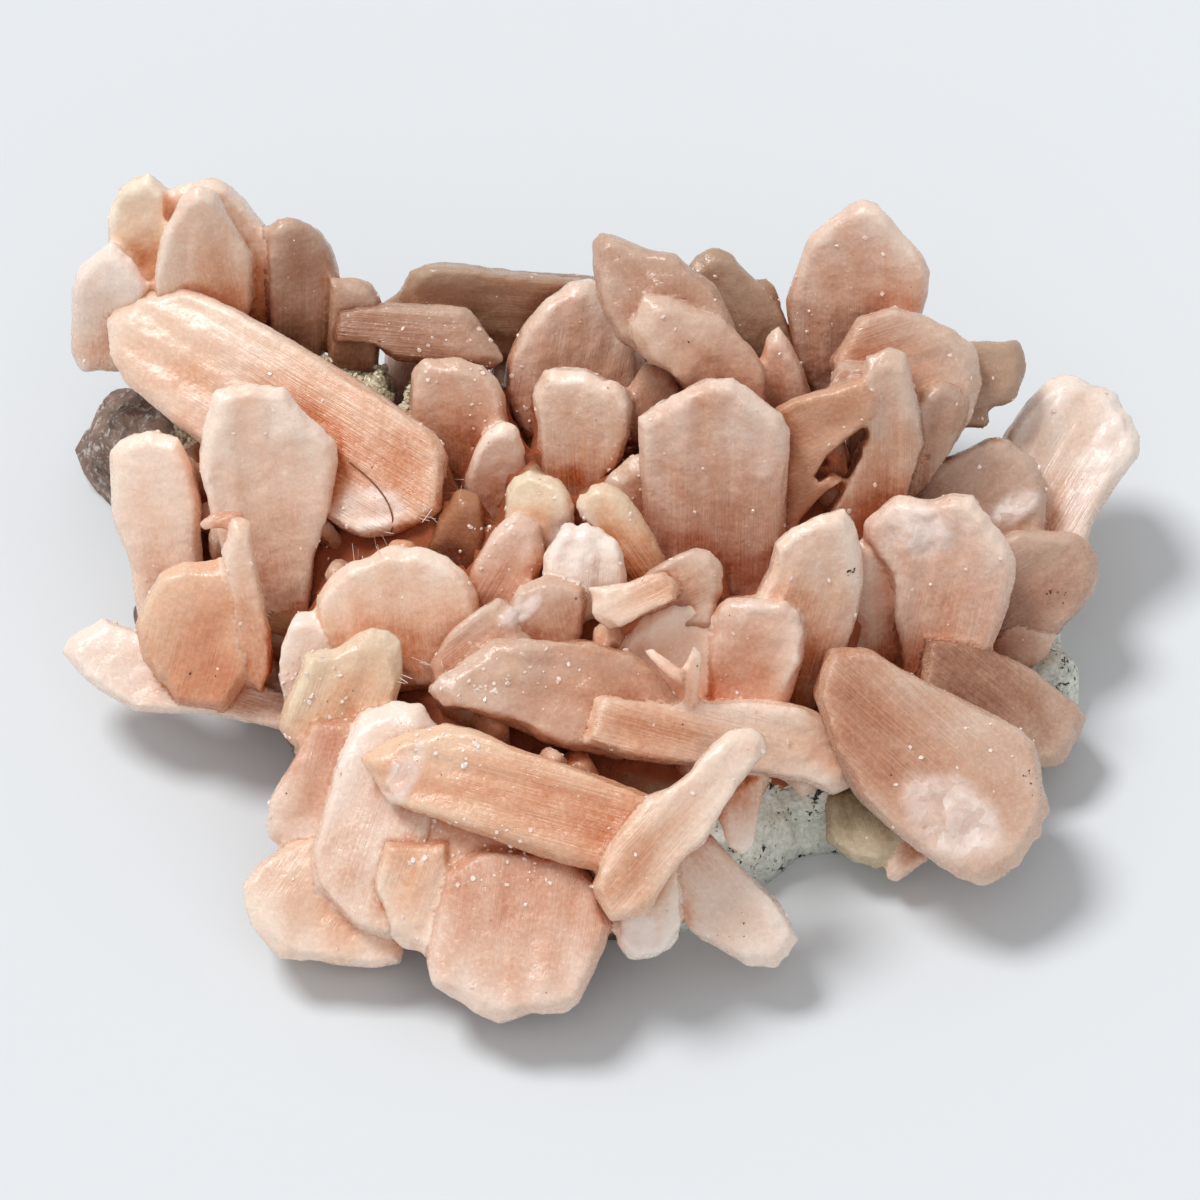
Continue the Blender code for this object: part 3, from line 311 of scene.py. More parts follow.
            (0, 8), (-2.6, 10.2), (-3.5, 11.7), (-2.9, 13.2), (-1.4, 14.4)], "yellow", "ribbed"),
        "leaning_blade": Crystal(33, 0.0, 0.8, 6, 60, [
            (-13.5, 8.7), (-10.5, 11), (-7.5, 9.5), (-7, 5), (-8.5, 1), (-12, -3), (-17, -4.5),
            (-18, -1), (-16, 4.5)], "pink"),
        "rear_leaning_blade": Crystal(29, 0.0, 0.8, 6, 118, [
            (-19.5, 11.5), (-17.5, 13.5), (-15, 13), (-14.5, 8), (-16, 0), (-22, 1),
            (-22.5, 6)], "dark"),
        "peach_blade": Crystal(35.5, 0.15, 0.85, 6, 108, [
            (-9, 16.6), (-7, 15.8), (-5.2, 15), (-3.8, 12.5), (-3.6, 8), (-6, 2), (-10, -3),
            (-16, -3), (-15, 5), (-12, 10), (-12.1, 13.6), (-11, 15.6)], "yellow", "knobby"),
        "round_blade": Crystal(34, -0.1, 0.78, 7, 105, [
            (-7, 3.2), (-4, 2.4), (-2.1, 1.7), (-1.5, -0.5), (-2, -4), (-4, -9), (-13, -9),
            (-13.5, -3.5), (-11.2, 0), (-10.2, 1.9)], "mauve"),
    },
    "front_long_sheaf": {
        "slanting_blade": Crystal(31.5, 0.0, 0.7, 7, 38, [
            (-15.5, -1.5), (-12.5, 0.5), (-9, -2), (-8, -7), (-12, -12), (-21, -11.5),
            (-21.5, -8), (-18.5, -4)], "mauve"),
        "left_mass": Crystal(33, -0.1, 0.6, 10, 172, [
            (-13.5, -5.4), (-8, -4.9), (-2, -4.8), (3.2, -6), (7, -9), (10, -13), (9, -19.6),
            (2, -20), (-7, -17.5), (-14, -14.5), (-20, -13.5), (-21.5, -11), (-17.5, -8)],
            "mauve", "knobby"),
        "right_blade": Crystal(19, -0.2, 0.62, 9, 345, [
            (31.8, -18.4), (32.3, -21), (31.2, -23.3), (29.4, -24.3), (26, -22.8), (21, -22),
            (14, -21), (4, -20), (-2, -18), (0, -12), (7, -12.4), (14, -12.9), (20, -13),
            (25, -13.5), (28.5, -14.7), (30.6, -16.3)], "peach", "ribbed"),
        "grey_knob": Crystal(33.5, 0.12, 0.85, 8, 60, [
            (18.5, 0.3), (20.6, -0.1), (23, 0.2), (25, -1.4), (25.9, -4), (25.6, -7), (24.6, -9.4),
            (23, -13), (14, -14), (13.4, -6), (14.3, -0.6), (16, 0.4)], "pink", "knobby"),
        "pink_knob": Crystal(32.5, -0.1, 0.9, 8, 110, [
            (11.5, 0.2), (14, -1), (14.8, -5), (14.6, -9), (13, -14), (6, -14), (2, -9),
            (2.6, -5), (6, -2), (9, -0.3)], "light", "knobby"),
        "standing_blade": Crystal(40, -0.2, 0.95, 7, 75, [
            (30.7, 11.2), (32.2, 8.5), (33, 6), (33.1, 3), (32.6, -1.5), (31.5, -6), (30, -9.6),
            (27, -16), (20, -16), (18, -6), (19.7, 0.5), (21.4, 3.6), (22, 7), (24, 8.9),
            (27, 10.3)]),
        "splinter": Crystal(35, 0.0, 1.1, 1.8, 80, [
            (11.7, -5.5), (12.9, -7), (12.4, -12.6), (11.3, -15), (10.2, -13.6), (10.5, -8)], "light"),
        "rod": Crystal(33.5, 0.0, 0.6, 1.8, 150, [
            (5.2, -6.3), (6.2, -5.6), (10.6, -8.9), (10.2, -10.6), (8.8, -9.9)], "light"),
    },
    "front_left_sheaf": {
        "hexagonal_blade": Crystal(33.5, 0.08, 0.8, 9, 95, [
            (-26, 6.9), (-22, 6.4), (-19, 5.1), (-17, 3.5), (-15.4, 0.5), (-14.8, -4), (-17, -11),
            (-30, -12), (-34.6, -7), (-35.5, -2.5), (-35.4, 0.4), (-34, 2.5), (-31.5, 4.5),
            (-28.5, 5.8)]),
        "edge_blade": Crystal(26, 0.0, 0.75, 5, 62, [
            (-35.6, -1.5), (-33, -4), (-32, -8), (-36, -13), (-40, -13.2), (-40.6, -9.5),
            (-39.6, -4.4), (-38.3, -1.9)], "pearl", "knobby"),
        "two_tone_blade": Crystal(31, -0.1, 0.7, 8, 70, [
            (-28.5, -3.7), (-26.4, -4), (-25, -5.2), (-24.8, -10), (-27, -17), (-31.5, -20),
            (-36, -19.6), (-38.6, -18.3), (-40.1, -16), (-39.2, -12.8), (-37.2, -9.4),
            (-36.6, -6.9), (-33, -6), (-31, -4.6)], "yellow"),
        "low_blade": Crystal(15, 0.05, 0.6, 8, 255, [
            (-39.8, -31), (-41.6, -29.8), (-42, -28), (-41.3, -25), (-38.3, -20), (-36, -15),
            (-31, -15), (-31, -24), (-33, -31)], "pink"),
        "veil_blade": Crystal(27.5, 0.1, 0.5, 9, 72, [
            (-26, -12.7), (-22.5, -13), (-19.5, -17), (-20, -24), (-21, -31), (-22.5, -38),
            (-26, -42.5), (-31, -41), (-35.6, -36), (-36, -31), (-34, -24), (-32, -18),
            (-30, -14)], "pearl"),
        "corner_blade": Crystal(10, -0.05, 0.5, 9, 235, [
            (-41.2, -43.2), (-43.8, -40.5), (-44.4, -38), (-44.6, -35.4), (-43, -33),
            (-39.8, -30.8), (-34, -28), (-27, -30), (-24, -37), (-24.6, -43.6), (-25, -45.4),
            (-28, -46), (-31.5, -46), (-35.5, -45.4), (-40, -44.8)]),
    },
    "front_low_sheaf": {
        "big_blade": Crystal(9.5, 0.05, 0.5, 9, 262, [
            (-12.8, -53), (-14.2, -52.3), (-17, -50.4), (-21.1, -48.2), (-21.8, -45), (-20.8, -39),
            (-19.5, -34), (-15, -31), (-4, -31.5), (0, -35.5), (1.4, -40.8), (-1, -47),
            (-2.8, -50.5), (-4.3, -51.3), (-10, -52)], "pink"),
        "fragment_bed": Crystal(14.5, 0.05, 0.55, 7, 240, [
            (-20, -38.5), (-25.5, -37.5), (-27, -33), (-25, -25), (-16, -25), (-8, -28),
            (-9, -33), (-13, -37.5)], "peach", "knobby"),
        "filler_blade": Crystal(12, 0.02, 0.6, 8, 250, [
            (-22, -44.3), (-24.2, -43.7), (-26.5, -42), (-28.5, -36), (-27, -30), (-19, -30),
            (-18.5, -38), (-19.5, -43)]),
        "round_blade": Crystal(12, 0.0, 0.68, 7, 262, [
            (6, -45.4), (3.8, -45), (2.3, -43.2), (2, -41), (3, -34), (5, -29), (10, -30),
            (10, -40), (9.8, -42.3), (8.6, -44)], "white", "knobby"),
        "corner_blade": Crystal(9, -0.1, 0.6, 8, 310, [
            (22.2, -46), (18.5, -45.7), (15, -43.6), (11.4, -41.3), (9.6, -36), (8, -29),
            (14, -29), (18, -33.5), (20.6, -35.9), (23.1, -38.6), (25, -42.4), (23.9, -44)], "pearl"),
        "glass_plate": Crystal(20, 0.0, 0.75, 3, 262, [
            (17.6, -32.1), (16, -31), (15.2, -27.5), (15.4, -22), (20.6, -22), (20.4, -25),
            (19.3, -31)], "pearl"),
    },
    "crossing_blades": {
        "long_blade": Crystal(27.5, 0.12, 0.6, 9, 165, [
            (-29.8, -19.8), (-26.5, -17.6), (-23, -16.3), (-19.5, -15.5), (-16, -16.3),
            (-11, -18.3), (-5, -20.4), (1, -22.7), (6, -24.5), (10, -28), (9, -33), (4, -34.5),
            (-5, -33), (-12, -30.3), (-18, -28), (-22, -26.6), (-26.6, -25.5), (-28.7, -22.6)],
            "orange", "ribbed"),
        "cross_blade": Crystal(34, -0.08, 0.62, 8, 48, [
            (19, -15.9), (20.8, -17.4), (20.9, -19), (18.5, -22), (16, -25.6), (14, -28.6),
            (13, -30.5), (10.6, -32), (8.5, -35), (6, -39), (1.2, -40.5), (-1, -36), (1, -31),
            (3, -28), (5.4, -24.7), (9, -23.3), (12, -21), (14, -18.2), (16.4, -16.1)]),
    },
    "rear_sheaf": {
        "left_stem": Stem((-52, 40, 12), (-55, 57, 27), 11, 8),
        "second_stem": Stem((-41, 42, 12), (-43, 57, 21), 10, 7),
        "third_stem": Stem((-24, 40, 12), (-22, 55, 19), 11, 8),
        "fourth_stem": Stem((-8, 40, 12), (-9, 56, 21), 12, 8),
        "fifth_stem": Stem((7, 40, 13), (9, 57, 23), 11, 8),
        "sixth_stem": Stem((22, 37, 11), (22, 51, 17), 10, 7),
        "seventh_stem": Stem((35, 34, 12), (38, 49, 24), 11, 8),
    },
    "front_right_chips": {
        "green_chip": Crystal(6.5, 0.0, 0.5, 5, 290, [
            (34.6, -33.8), (31.5, -32.8), (28.4, -30.2), (28, -24), (34, -22), (40, -26),
            (38, -30.8), (36.6, -32.6)], "green"),
        "pink_chip": Crystal(5.5, 0.0, 0.45, 4, 225, [
            (37, -35.2), (36, -34.6), (35.9, -33), (37.5, -29), (42, -27), (43, -31.4),
            (39.6, -33.6)], "pink"),
    },
}


def seen_at(right, up, height):
    """The point at this height above the table that is seen at this place of the view."""
    towards = SIGHT_MIDDLE + SIGHT_RIGHT * right + SIGHT_UP * up - EYE
    return EYE + towards * ((height - EYE.z) / towards.z)


def face_points(crystal):
    """The crystal's outline laid on its sloping face."""
    first_right, first_up = crystal.outline[0]
    return [
        seen_at(right, up, crystal.height + crystal.across * (right - first_right)
                + crystal.up * (up - first_up))
        for right, up in crystal.outline
    ]


def face_directions(crystal, points):
    """Directions in the face: across the grain and along it. Their product points out of it."""
    side = points[len(points) // 3] - points[0]
    other = points[2 * len(points) // 3] - points[0]
    out = side.cross(other).normalized()
    if out.dot(TO_EYE) < 0:
        out = -out
    turn = math.radians(crystal.grain)
    seen_grain = SIGHT_RIGHT * math.cos(turn) + SIGHT_UP * math.sin(turn)
    # The grain as it lies in the face: moved along the line of sight onto it.
    along = (seen_grain - TO_EYE * (seen_grain.dot(out) / TO_EYE.dot(out))).normalized()
    return along.cross(out).normalized(), along


def standing_points(stem):
    """Outline of a crystal given by its root and tip: it widens to two shoulders, then points."""
    root, tip = Vector(stem.root), Vector(stem.tip)
    along = (tip - root).normalized()
    across = along.cross(Vector((0, 0, 1))).normalized()
    across = Quaternion(along, math.radians(stem.turn)) @ across
    length = (tip - root).length
    points = []
    for share, half_width in STEM_OUTLINE:
        points.append(root + along * length * share + across * stem.width * half_width)
    return points, across, along


# Rings of a crystal from its face to its back: share of the bevel that is taken off the outline,
# share of the bevel's depth, and share of the whole depth.
RINGS = [(1.0, 0.0, 0.0), (0.0, 1.0, 0.0), (0.1, 0.0, 0.6)]


def lofted(mesh, points, across, along, thick, back):
    """Adds a tabular crystal: its outline lofted from front to back, with narrow bevels along its
    sides and a wide slope at its tip."""
    middle = sum(points, Vector()) / len(points)
    flat = [((p - middle).dot(across), (p - middle).dot(along)) for p in points]
    reach = [max(abs(x) for x, _ in flat), max(abs(y) for _, y in flat)]
    side = min(SIDE_CHAMFER, 0.25 * min(reach))
    slope = min(TIP_SLOPE, 0.3 * reach[1])
    set_back = min(CHAMFER_DEPTH, 0.3 * thick)
    levels = [(share, bevel * set_back + whole * thick) for share, bevel, whole in RINGS]
    rings = []
    for share, depth in levels + [(BACK_TAPER, thick)]:
        ring = []
        for x, y in flat:
            x *= 1 - share * side / reach[0]
            y *= 1 - share * (slope if y > 0 else side) / reach[1]
            ring.append(mesh.verts.new(middle + across * x + along * y + back * depth))
        rings.append(ring)
    mesh.faces.new(rings[0])
    mesh.faces.new(list(reversed(rings[-1])))
    count = len(flat)
    for ring, behind in zip(rings, rings[1:]):
        for i in range(count):
            j = (i + 1) % count
            mesh.faces.new((ring[i], behind[i], behind[j], ring[j]))


COMPANIONS = 6
COMPANION_LEAN = math.radians(3.5)
COMPANION_WIDTHS = (0.2, 0.45)
COMPANION_LENGTHS = (0.7, 0.97)
COMPANION_DEPTHS = (0.4, 0.8)
COMPANION_RISES = (-0.5, 0.3)
LEAST_WIDTH = 3.0
DRAW_IN_STEPS = 12
DRAW_IN_SHARE = 0.12


def is_inside(x, y, outline):
    """Whether a flat point lies inside a closed outline."""
    crossings = 0
    for (x1, y1), (x2, y2) in zip(outline, outline[1:] + outline[:1]):
        if (y1 > y) != (y2 > y) and x < x1 + (x2 - x1) * (y - y1) / (y2 - y1):
            crossings += 1
    return crossings % 2 == 1


def drawn_in(x, y, from_x, from_y, outline):
    """The point, moved towards another one until it lies inside the outline."""
    for _ in range(DRAW_IN_STEPS):
        if is_inside(x, y, outline):
            break
        x += (from_x - x) * DRAW_IN_SHARE
        y += (from_y - y) * DRAW_IN_SHARE
    return x, y


def add_companions(mesh, name, points, across, along, thick, back):
    """Adds thinner plates beside a crystal, nearly in line with it, whose edges step out of its
    face inside its outline."""
    draw = random.Random(name)
    middle = sum(points, Vector()) / len(points)
    out = across.cross(along)
    flat = [((p - middle).dot(across), (p - middle).dot(along)) for p in points]
    width = max(x for x, _ in flat)
    length = max(y for _, y in flat)
    if width < LEAST_WIDTH:
        return
    for index in range(COMPANIONS):
        side = index / (COMPANIONS - 1) * 2 - 1 + draw.uniform(-0.15, 0.15)
        wide, tall = draw.uniform(*COMPANION_WIDTHS), draw.uniform(*COMPANION_LENGTHS)
        turn = draw.uniform(-1, 1) * COMPANION_LEAN
        tilt = draw.uniform(-1, 1) * COMPANION_LEAN
        rise = draw.uniform(*COMPANION_RISES)
        start_x = side * width * (1 - wide)
        start_y = -length * draw.uniform(0.04, 0.16)
        plate = []
        for x, y in flat:
            x, y = x * wide, y * tall
            x, y = (start_x + x * math.cos(turn) - y * math.sin(turn),
                    start_y + x * math.sin(turn) + y * math.cos(turn))
            x, y = drawn_in(x, y, start_x * 0.5, start_y, flat)
            lift = rise + math.sin(tilt) * (x - start_x)
            plate.append(middle + across * x + along * y + out * lift)
        lofted(mesh, plate, across, along, thick * draw.uniform(*COMPANION_DEPTHS), back)


# A crystal as built: its own directions, the middle of its face and its outline in the face.
Grown = namedtuple("Grown", "crystal middle across along out outline mesh")


def grow(name, crystal):
    """Builds one crystal with its companions. Its name seeds their random draws."""
    if isinstance(crystal, Stem):
        points, across, along = standing_points(crystal)
        back = along.cross(across).normalized()
    else:
        points = face_points(crystal)
        across, along = face_directions(crystal, points)
        back = (along.cross(across) * (1 - BACK_LEAN) - TO_EYE * BACK_LEAN).normalized()
    mesh = bmesh.new()
    lofted(mesh, points, across, along, crystal.thick, back)
    add_companions(mesh, name, points, across, along, crystal.thick, back)
    trim_below(mesh, FLOOR_CLEARANCE)
    bmesh.ops.recalc_face_normals(mesh, faces=mesh.faces)
    middle = sum(points, Vector()) / len(points)
    outline = np.array([((p - middle).dot(across), (p - middle).dot(along)) for p in points])
    return Grown(crystal, np.array(middle), np.array(across), np.array(along),
                 np.array(across.cross(along)), outline, mesh)


def trim_below(mesh, height):
    """Cuts the mesh off flat at this height, and closes the cut."""
    geometry = mesh.verts[:] + mesh.edges[:] + mesh.faces[:]
    cut = bmesh.ops.bisect_plane(
        mesh, geom=geometry, dist=1e-4, plane_co=(0, 0, height), plane_no=(0, 0, -1),
        clear_outer=True)
    edges = [item for item in cut["geom_cut"] if isinstance(item, bmesh.types.BMEdge)]
    if edges:
        bmesh.ops.contextual_create(mesh, geom=edges)


def reach_of(outline, bearings):
    """Distances from the middle to an outline, in these directions seen from above."""
    corners = sorted((math.atan2(y, x), math.hypot(x, y)) for x, y in outline)
    return np.interp(bearings, *np.array(corners).T, period=math.tau)


def tops_of(lump, x, y):
    """Heights of a lump's top above the table at these places, before its roughness."""
    height = np.full(len(x), lump.side_height)
    for rise_x, rise_y, rise, spread in lump.rises:
        height += rise * np.exp(-((x - rise_x) ** 2 + (y - rise_y) ** 2) / spread ** 2)
    return height


SETTLE_STEP = 0.5
LEAST_COVER = 0.6


def hides_a_blade(point, blades):
    """Whether something here would show through a blade in the view from in front."""
    away = (point - EYE).normalized()
    distance = blades.ray_cast(EYE, away)[3]
    return distance is not None and distance > (point - EYE).length - LEAST_COVER


def lump_mesh(lump, detail):
    """A lump with steep broken sides, a domed top and a flat underside."""
    mesh = bmesh.new()
    bmesh.ops.create_icosphere(mesh, subdivisions=detail, radius=1.0)
    x, y, z = np.array([vertex.co for vertex in mesh.verts]).T
    level = np.hypot(x, y)
    bearing = np.arctan2(y, x)
    reach = reach_of(lump.outline, bearing) * level ** PLAN_POWER
    places = np.stack([np.cos(bearing) * reach, np.sin(bearing) * reach, UNDERSIDE * z], axis=1)
    above = z > 0
    tops = tops_of(lump, places[:, 0], places[:, 1])
    places[above, 2] = tops[above] * z[above] ** SIDE_POWER
    rough = smooth_noise(places, ROUGH_SIZE) * lump.roughness
    outward = np.stack([np.cos(bearing) * level ** 4, np.sin(bearing) * level ** 4,
                        np.maximum(z, 0)], axis=1)
    places += outward * rough[:, None]
    for vertex, place in zip(mesh.verts, places.tolist()):
        vertex.co = place
    trim_below(mesh, lump.underside)
    bmesh.ops.recalc_face_normals(mesh, faces=mesh.faces)
    return mesh


def settled_crust(detail, blades):
    """The crust, its top lowered until it covers no blade in the view from in front."""
    mesh = lump_mesh(CRUST, detail)
    for vertex in mesh.verts:
        point = vertex.co
        while point.z > CRUST.underside + 1 and hides_a_blade(point, blades):
            point.z -= SETTLE_STEP
    return mesh


def arrays_of(mesh):
    """A mesh's points and their directions, as arrays."""
    points = np.empty(len(mesh.vertices) * 3)
    mesh.vertices.foreach_get("co", points)
    normals = np.empty(len(mesh.vertices) * 3, np.float32)
    mesh.vertex_normals.foreach_get("vector", normals)
    return points.reshape(-1, 3), normals.reshape(-1, 3).astype(float)


def remeshed(name, meshes, voxel):
    """One closed, even mesh round all of these, in millimetres."""
    joined = bpy.data.meshes.new(name)
    whole = bmesh.new()
    for mesh in meshes:
        part = bpy.data.meshes.new("part")
        mesh.to_mesh(part)
        whole.from_mesh(part)
        bpy.data.meshes.remove(part)
    whole.to_mesh(joined)
    whole.free()
    carrier = bpy.data.objects.new(name, joined)
    bpy.context.scene.collection.objects.link(carrier)
    remesh = carrier.modifiers.new("even", "REMESH")
    remesh.mode = "VOXEL"
    remesh.voxel_size = voxel
    soften = carrier.modifiers.new("soften", "SMOOTH")
    soften.factor = 0.3
    soften.iterations = 1
    graph = bpy.context.evaluated_depsgraph_get()
    made = bpy.data.meshes.new_from_object(carrier.evaluated_get(graph))
    bpy.data.objects.remove(carrier)
    bpy.data.meshes.remove(joined)
    made.name = name
    return made


def smooth_noise(places, size, seed=0.0):
    """Smooth noise from -1 to 1 at every place. The size may differ along each axis."""
    scaled = places / np.array(size) + seed
    return np.array([noise.noise(place) for place in scaled.tolist()])


def smooth_step(values, low, high):
    share = np.clip((values - low) / (high - low), 0, 1)
    return share * share * (3 - 2 * share)


def distance_to_outline(flat, outline):
    """Distance of every flat point to the nearest side of the outline."""
    best = np.full(len(flat), 1e9)
    for start, end in zip(outline, np.roll(outline, -1, axis=0)):
        side = end - start
        share = np.clip((flat - start) @ side / (side @ side), 0, 1)
        best = np.minimum(best, np.linalg.norm(flat - start - share[:, None] * side, axis=1))
    return best


def seen_places(points):
    """Where every point is seen: right of and above the middle of the view."""
    eye = np.array(EYE)
    from_eye = points - eye
    depth = -from_eye @ np.array(TO_EYE)
    on_view = from_eye * (SIGHT_DISTANCE / depth)[:, None] + eye - np.array(SIGHT_MIDDLE)
    return np.stack([on_view @ np.array(SIGHT_RIGHT), on_view @ np.array(SIGHT_UP)], axis=1)


def patch_share(seen, patches):
    """How far inside one of the oval patches every place is: 1 in the middle, 0 outside."""
    share = np.zeros(len(seen))
    for right, up, half_width, half_height, turn in patches:
        angle = math.radians(turn)
        x, y = seen[:, 0] - right, seen[:, 1] - up
        u = (x * math.cos(angle) + y * math.sin(angle)) / half_width
        v = (y * math.cos(angle) - x * math.sin(angle)) / half_height
        share = np.maximum(share, 1 - smooth_step(np.hypot(u, v), 0.6, 1.15))
    return share


HOLLOW_REACH = 9.0
HOLLOW_CELL = 1.0
HOLLOW_START = 0.4
HOLLOW_ROUNDS = 3
HOLLOW_RAYS = [Vector((0, 0, 1))] + [
    Vector((math.cos(turn) * 0.8, math.sin(turn) * 0.8, 0.6))
    for turn in np.arange(6) * math.tau / 6
]


def hollowness(points, normals, tree):
    """How much each point is closed in by the crystals round it, 0 to 1. Points close together
    that face the same way share one answer."""
    cells = np.hstack([np.round(points / HOLLOW_CELL), np.round(normals)])
    _, first, cell = np.unique(cells, axis=0, return_index=True, return_inverse=True)
    found = np.zeros(len(first))
    for i, (point, normal) in enumerate(zip(points[first].tolist(), normals[first].tolist())):
        normal = Vector(normal)
        turn = normal.to_track_quat("Z", "Y")
        start = Vector(point) + normal * HOLLOW_START
        for ray in HOLLOW_RAYS:
            distance = tree.ray_cast(start, turn @ ray, HOLLOW_REACH)[3]
            if distance is not None:
                found[i] += 1 - distance / HOLLOW_REACH
    return found[cell.ravel()] / len(HOLLOW_RAYS)


def even_hollowness(mesh, points, normals, tree):
    return neighbour_mean(mesh, hollowness(points, normals, tree), HOLLOW_ROUNDS)


def neighbour_mean(mesh, values, rounds):
    """The values smoothed along the mesh's edges."""
    ends = np.empty(len(mesh.edges) * 2, np.int32)
    mesh.edges.foreach_get("vertices", ends)
    first, second = ends.reshape(-1, 2).T
    count = len(values)
    degree = np.bincount(first, minlength=count) + np.bincount(second, minlength=count) + 1
    for _ in range(rounds):
        total = values + np.bincount(first, values[second], count)
        total += np.bincount(second, values[first], count)
        values = total / degree
    return values


# What is known at each point of a piece: its crystal, its place in that crystal (across, out,
# along), how near the root it is, its distance from the face's outline, how closed in it is, and
# how pearly the cleavage is there.
Skin = namedtuple("Skin", "owner place root rim hollow pearl")

# Cleaved, pearly patches, as seen: right, up, half the width, half the height, turn. Their
# sheen is painted as a paler colour.
PEARLY = [
    (-29, 11, 5.0, 3.4, 10), (44, -27, 7.5, 5.0, -35), (40, 8.5, 5.0, 3.5, -10),
    (52, 11.5, 3.5, 2.0, 30), (62.5, 17.5, 2.5, 7.5, -28), (6, -42, 3.5, 3.0, 0),
    (-3, 7, 3.5, 5.0, 0), (-10, -1.5, 3.5, 1.5, 35), (-24.5, -22, 2.0, 5, -30)]


def skin_of(mesh, members, tree, owners, everything):
    """A sheaf's points, their directions and its skin. Each point is owned by the crystal whose
    face is nearest."""
    points, normals = arrays_of(mesh)
    owner = np.array([owners[tree.find_nearest(point)[2]] for point in points.tolist()])
    place = np.zeros_like(points)
    root = np.zeros(len(points))
    rim = np.zeros(len(points))
    for index, grown in enumerate(members):
        own = owner == index
        local = points[own] - grown.middle
        directions = np.stack([grown.across, grown.out, grown.along], axis=1)
        place[own] = local @ directions
        flat = place[own][:, [0, 2]]
        low, high = grown.outline[:, 1].min(), grown.outline[:, 1].max()
        root[own] = 1 - np.clip((flat[:, 1] - low) / (high - low), 0, 1)
        rim[own] = distance_to_outline(flat, grown.outline)
    hollow = even_hollowness(mesh, points, normals, everything)
    pearl = patch_share(seen_places(points), PEARLY)
    return points, normals, Skin(owner, place, root, rim, hollow, pearl)


# How deep the colour is at a point, 0 at a pale tip and 1 in a crevice: what the root, the
# painted shade of the hollows, the way in from the rim, the clouds, the painted shade of the seams
# and a narrow crystal each add at most, what all have, and what a sharp edge takes off as a
# painted highlight, partly the paler thin edge.
ROOT_DEPTH = 0.36
ROOT_RANGE = (0.1, 0.95)
HOLLOW_SHADE_DEPTH = 0.3
HOLLOW_SHADE_RANGE = (0.05, 0.65)
INNER_DEPTH = 0.19
CLOUD_DEPTH = 0.19
CLOUD_SIZES = ((9.0, 9.0, 14.0), (3.0, 3.0, 5.0))
CLOUD_SHIFT = 5.3
RIM_WIDTH = 5.0
EDGE_HIGHLIGHT_DEPTH = 0.09
SEAM_SHADE_DEPTH = 0.14
NARROW_DEPTH = 0.34
LEAST_DEPTH = 0.07
FULL_WIDTH = 9.0
SHARP = (0.02, 0.12)
SHARP_ROUNDS = 2
LINED_RANGE = (0.1, 0.6)


def edges_and_seams(mesh, points, normals):
    """How sharply every point stands out of what is round it, and how sharply it lies in it."""
    means = [neighbour_mean(mesh, points[:, axis], SHARP_ROUNDS) for axis in range(3)]
    height = ((points - np.stack(means, axis=1)) * normals).sum(axis=1)
    return smooth_step(height, *SHARP), smooth_step(-height, *SHARP)


def shifted_places(skin, shift):
    """Places in each crystal, moved apart so that no two crystals share their noise."""
    return skin.place + (skin.owner * shift)[:, None]


def color_depth(mesh, points, normals, skin, members):
    widths = np.array([np.ptp(grown.outline[:, 0]) for grown in members])
    wide = np.clip(widths / FULL_WIDTH, 0, 1)[skin.owner]
    depth = LEAST_DEPTH + NARROW_DEPTH * (1 - wide)
    depth += ROOT_DEPTH * smooth_step(skin.root, *ROOT_RANGE)
    # Painted shade: deeper where the crystals round a point close it in.
    depth += HOLLOW_SHADE_DEPTH * smooth_step(skin.hollow, *HOLLOW_SHADE_RANGE)
    depth += INNER_DEPTH * smooth_step(skin.rim, 0.0, RIM_WIDTH)
    place = shifted_places(skin, CLOUD_SHIFT)
    depth += CLOUD_DEPTH * sum(smooth_noise(place, size, size[0]) for size in CLOUD_SIZES)
    # Painted highlight on sharp edges, partly the paler thin edge; painted shade in the seams.
    edge, seam_shade = edges_and_seams(mesh, points, normals)
    return depth + SEAM_SHADE_DEPTH * seam_shade - EDGE_HIGHLIGHT_DEPTH * edge * wide


def lined_share(skin, members):
    """How strongly the growth lines show at every point: most towards the root."""
    lined = np.array([FINISHES[grown.crystal.finish].lined for grown in members])[skin.owner]
    return lined * smooth_step(skin.root, *LINED_RANGE)


def stepped(values, count):
    """Values gathered into level steps with short slopes between them."""
    scaled = values * count
    level = np.floor(scaled)
    return (level + smooth_step(scaled - level, 0.35, 0.65)) / count


# Noise that the relief is made of: its size, over the piece or across, out of and along each
# crystal, its seed, and how many level steps it is gathered into, 0 for none.
Relief = namedtuple("Relief", "size seed levels")
BROAD_LUMPS = Relief(6.5, 0.0, 0)
FINE_LUMPS = Relief(2.4, 5.0, 0)
FINE_LUMP_SHARE = 0.4
GROWTH_LINES = Relief((0.9, 1.2, 14.0), 0.0, 0)
LONG_STEPS = Relief((2.8, 3.5, 60.0), 3.0, 4)
BROAD_STEPS = Relief((7.0, 5.0, 11.0), 23.0, 3)
BROAD_STEP_SHARE = 0.8
GRIT = Relief(1.1, 9.0, 0)
GRIT_HEIGHT = 0.09
SHINGLES = Relief((2.2, 2.2, 3.4), 17.0, 3)
SHINGLE_HEIGHT = 0.7
RAGS = Relief((1.7, 2.5, 9.0), 11.0, 3)
TIP_RANGE = (0.72, 0.95)
RELIEF_SHIFT = 7.31


def relief(places, kind):
    values = smooth_noise(places, kind.size, kind.seed)
    return stepped(values, kind.levels) if kind.levels else values


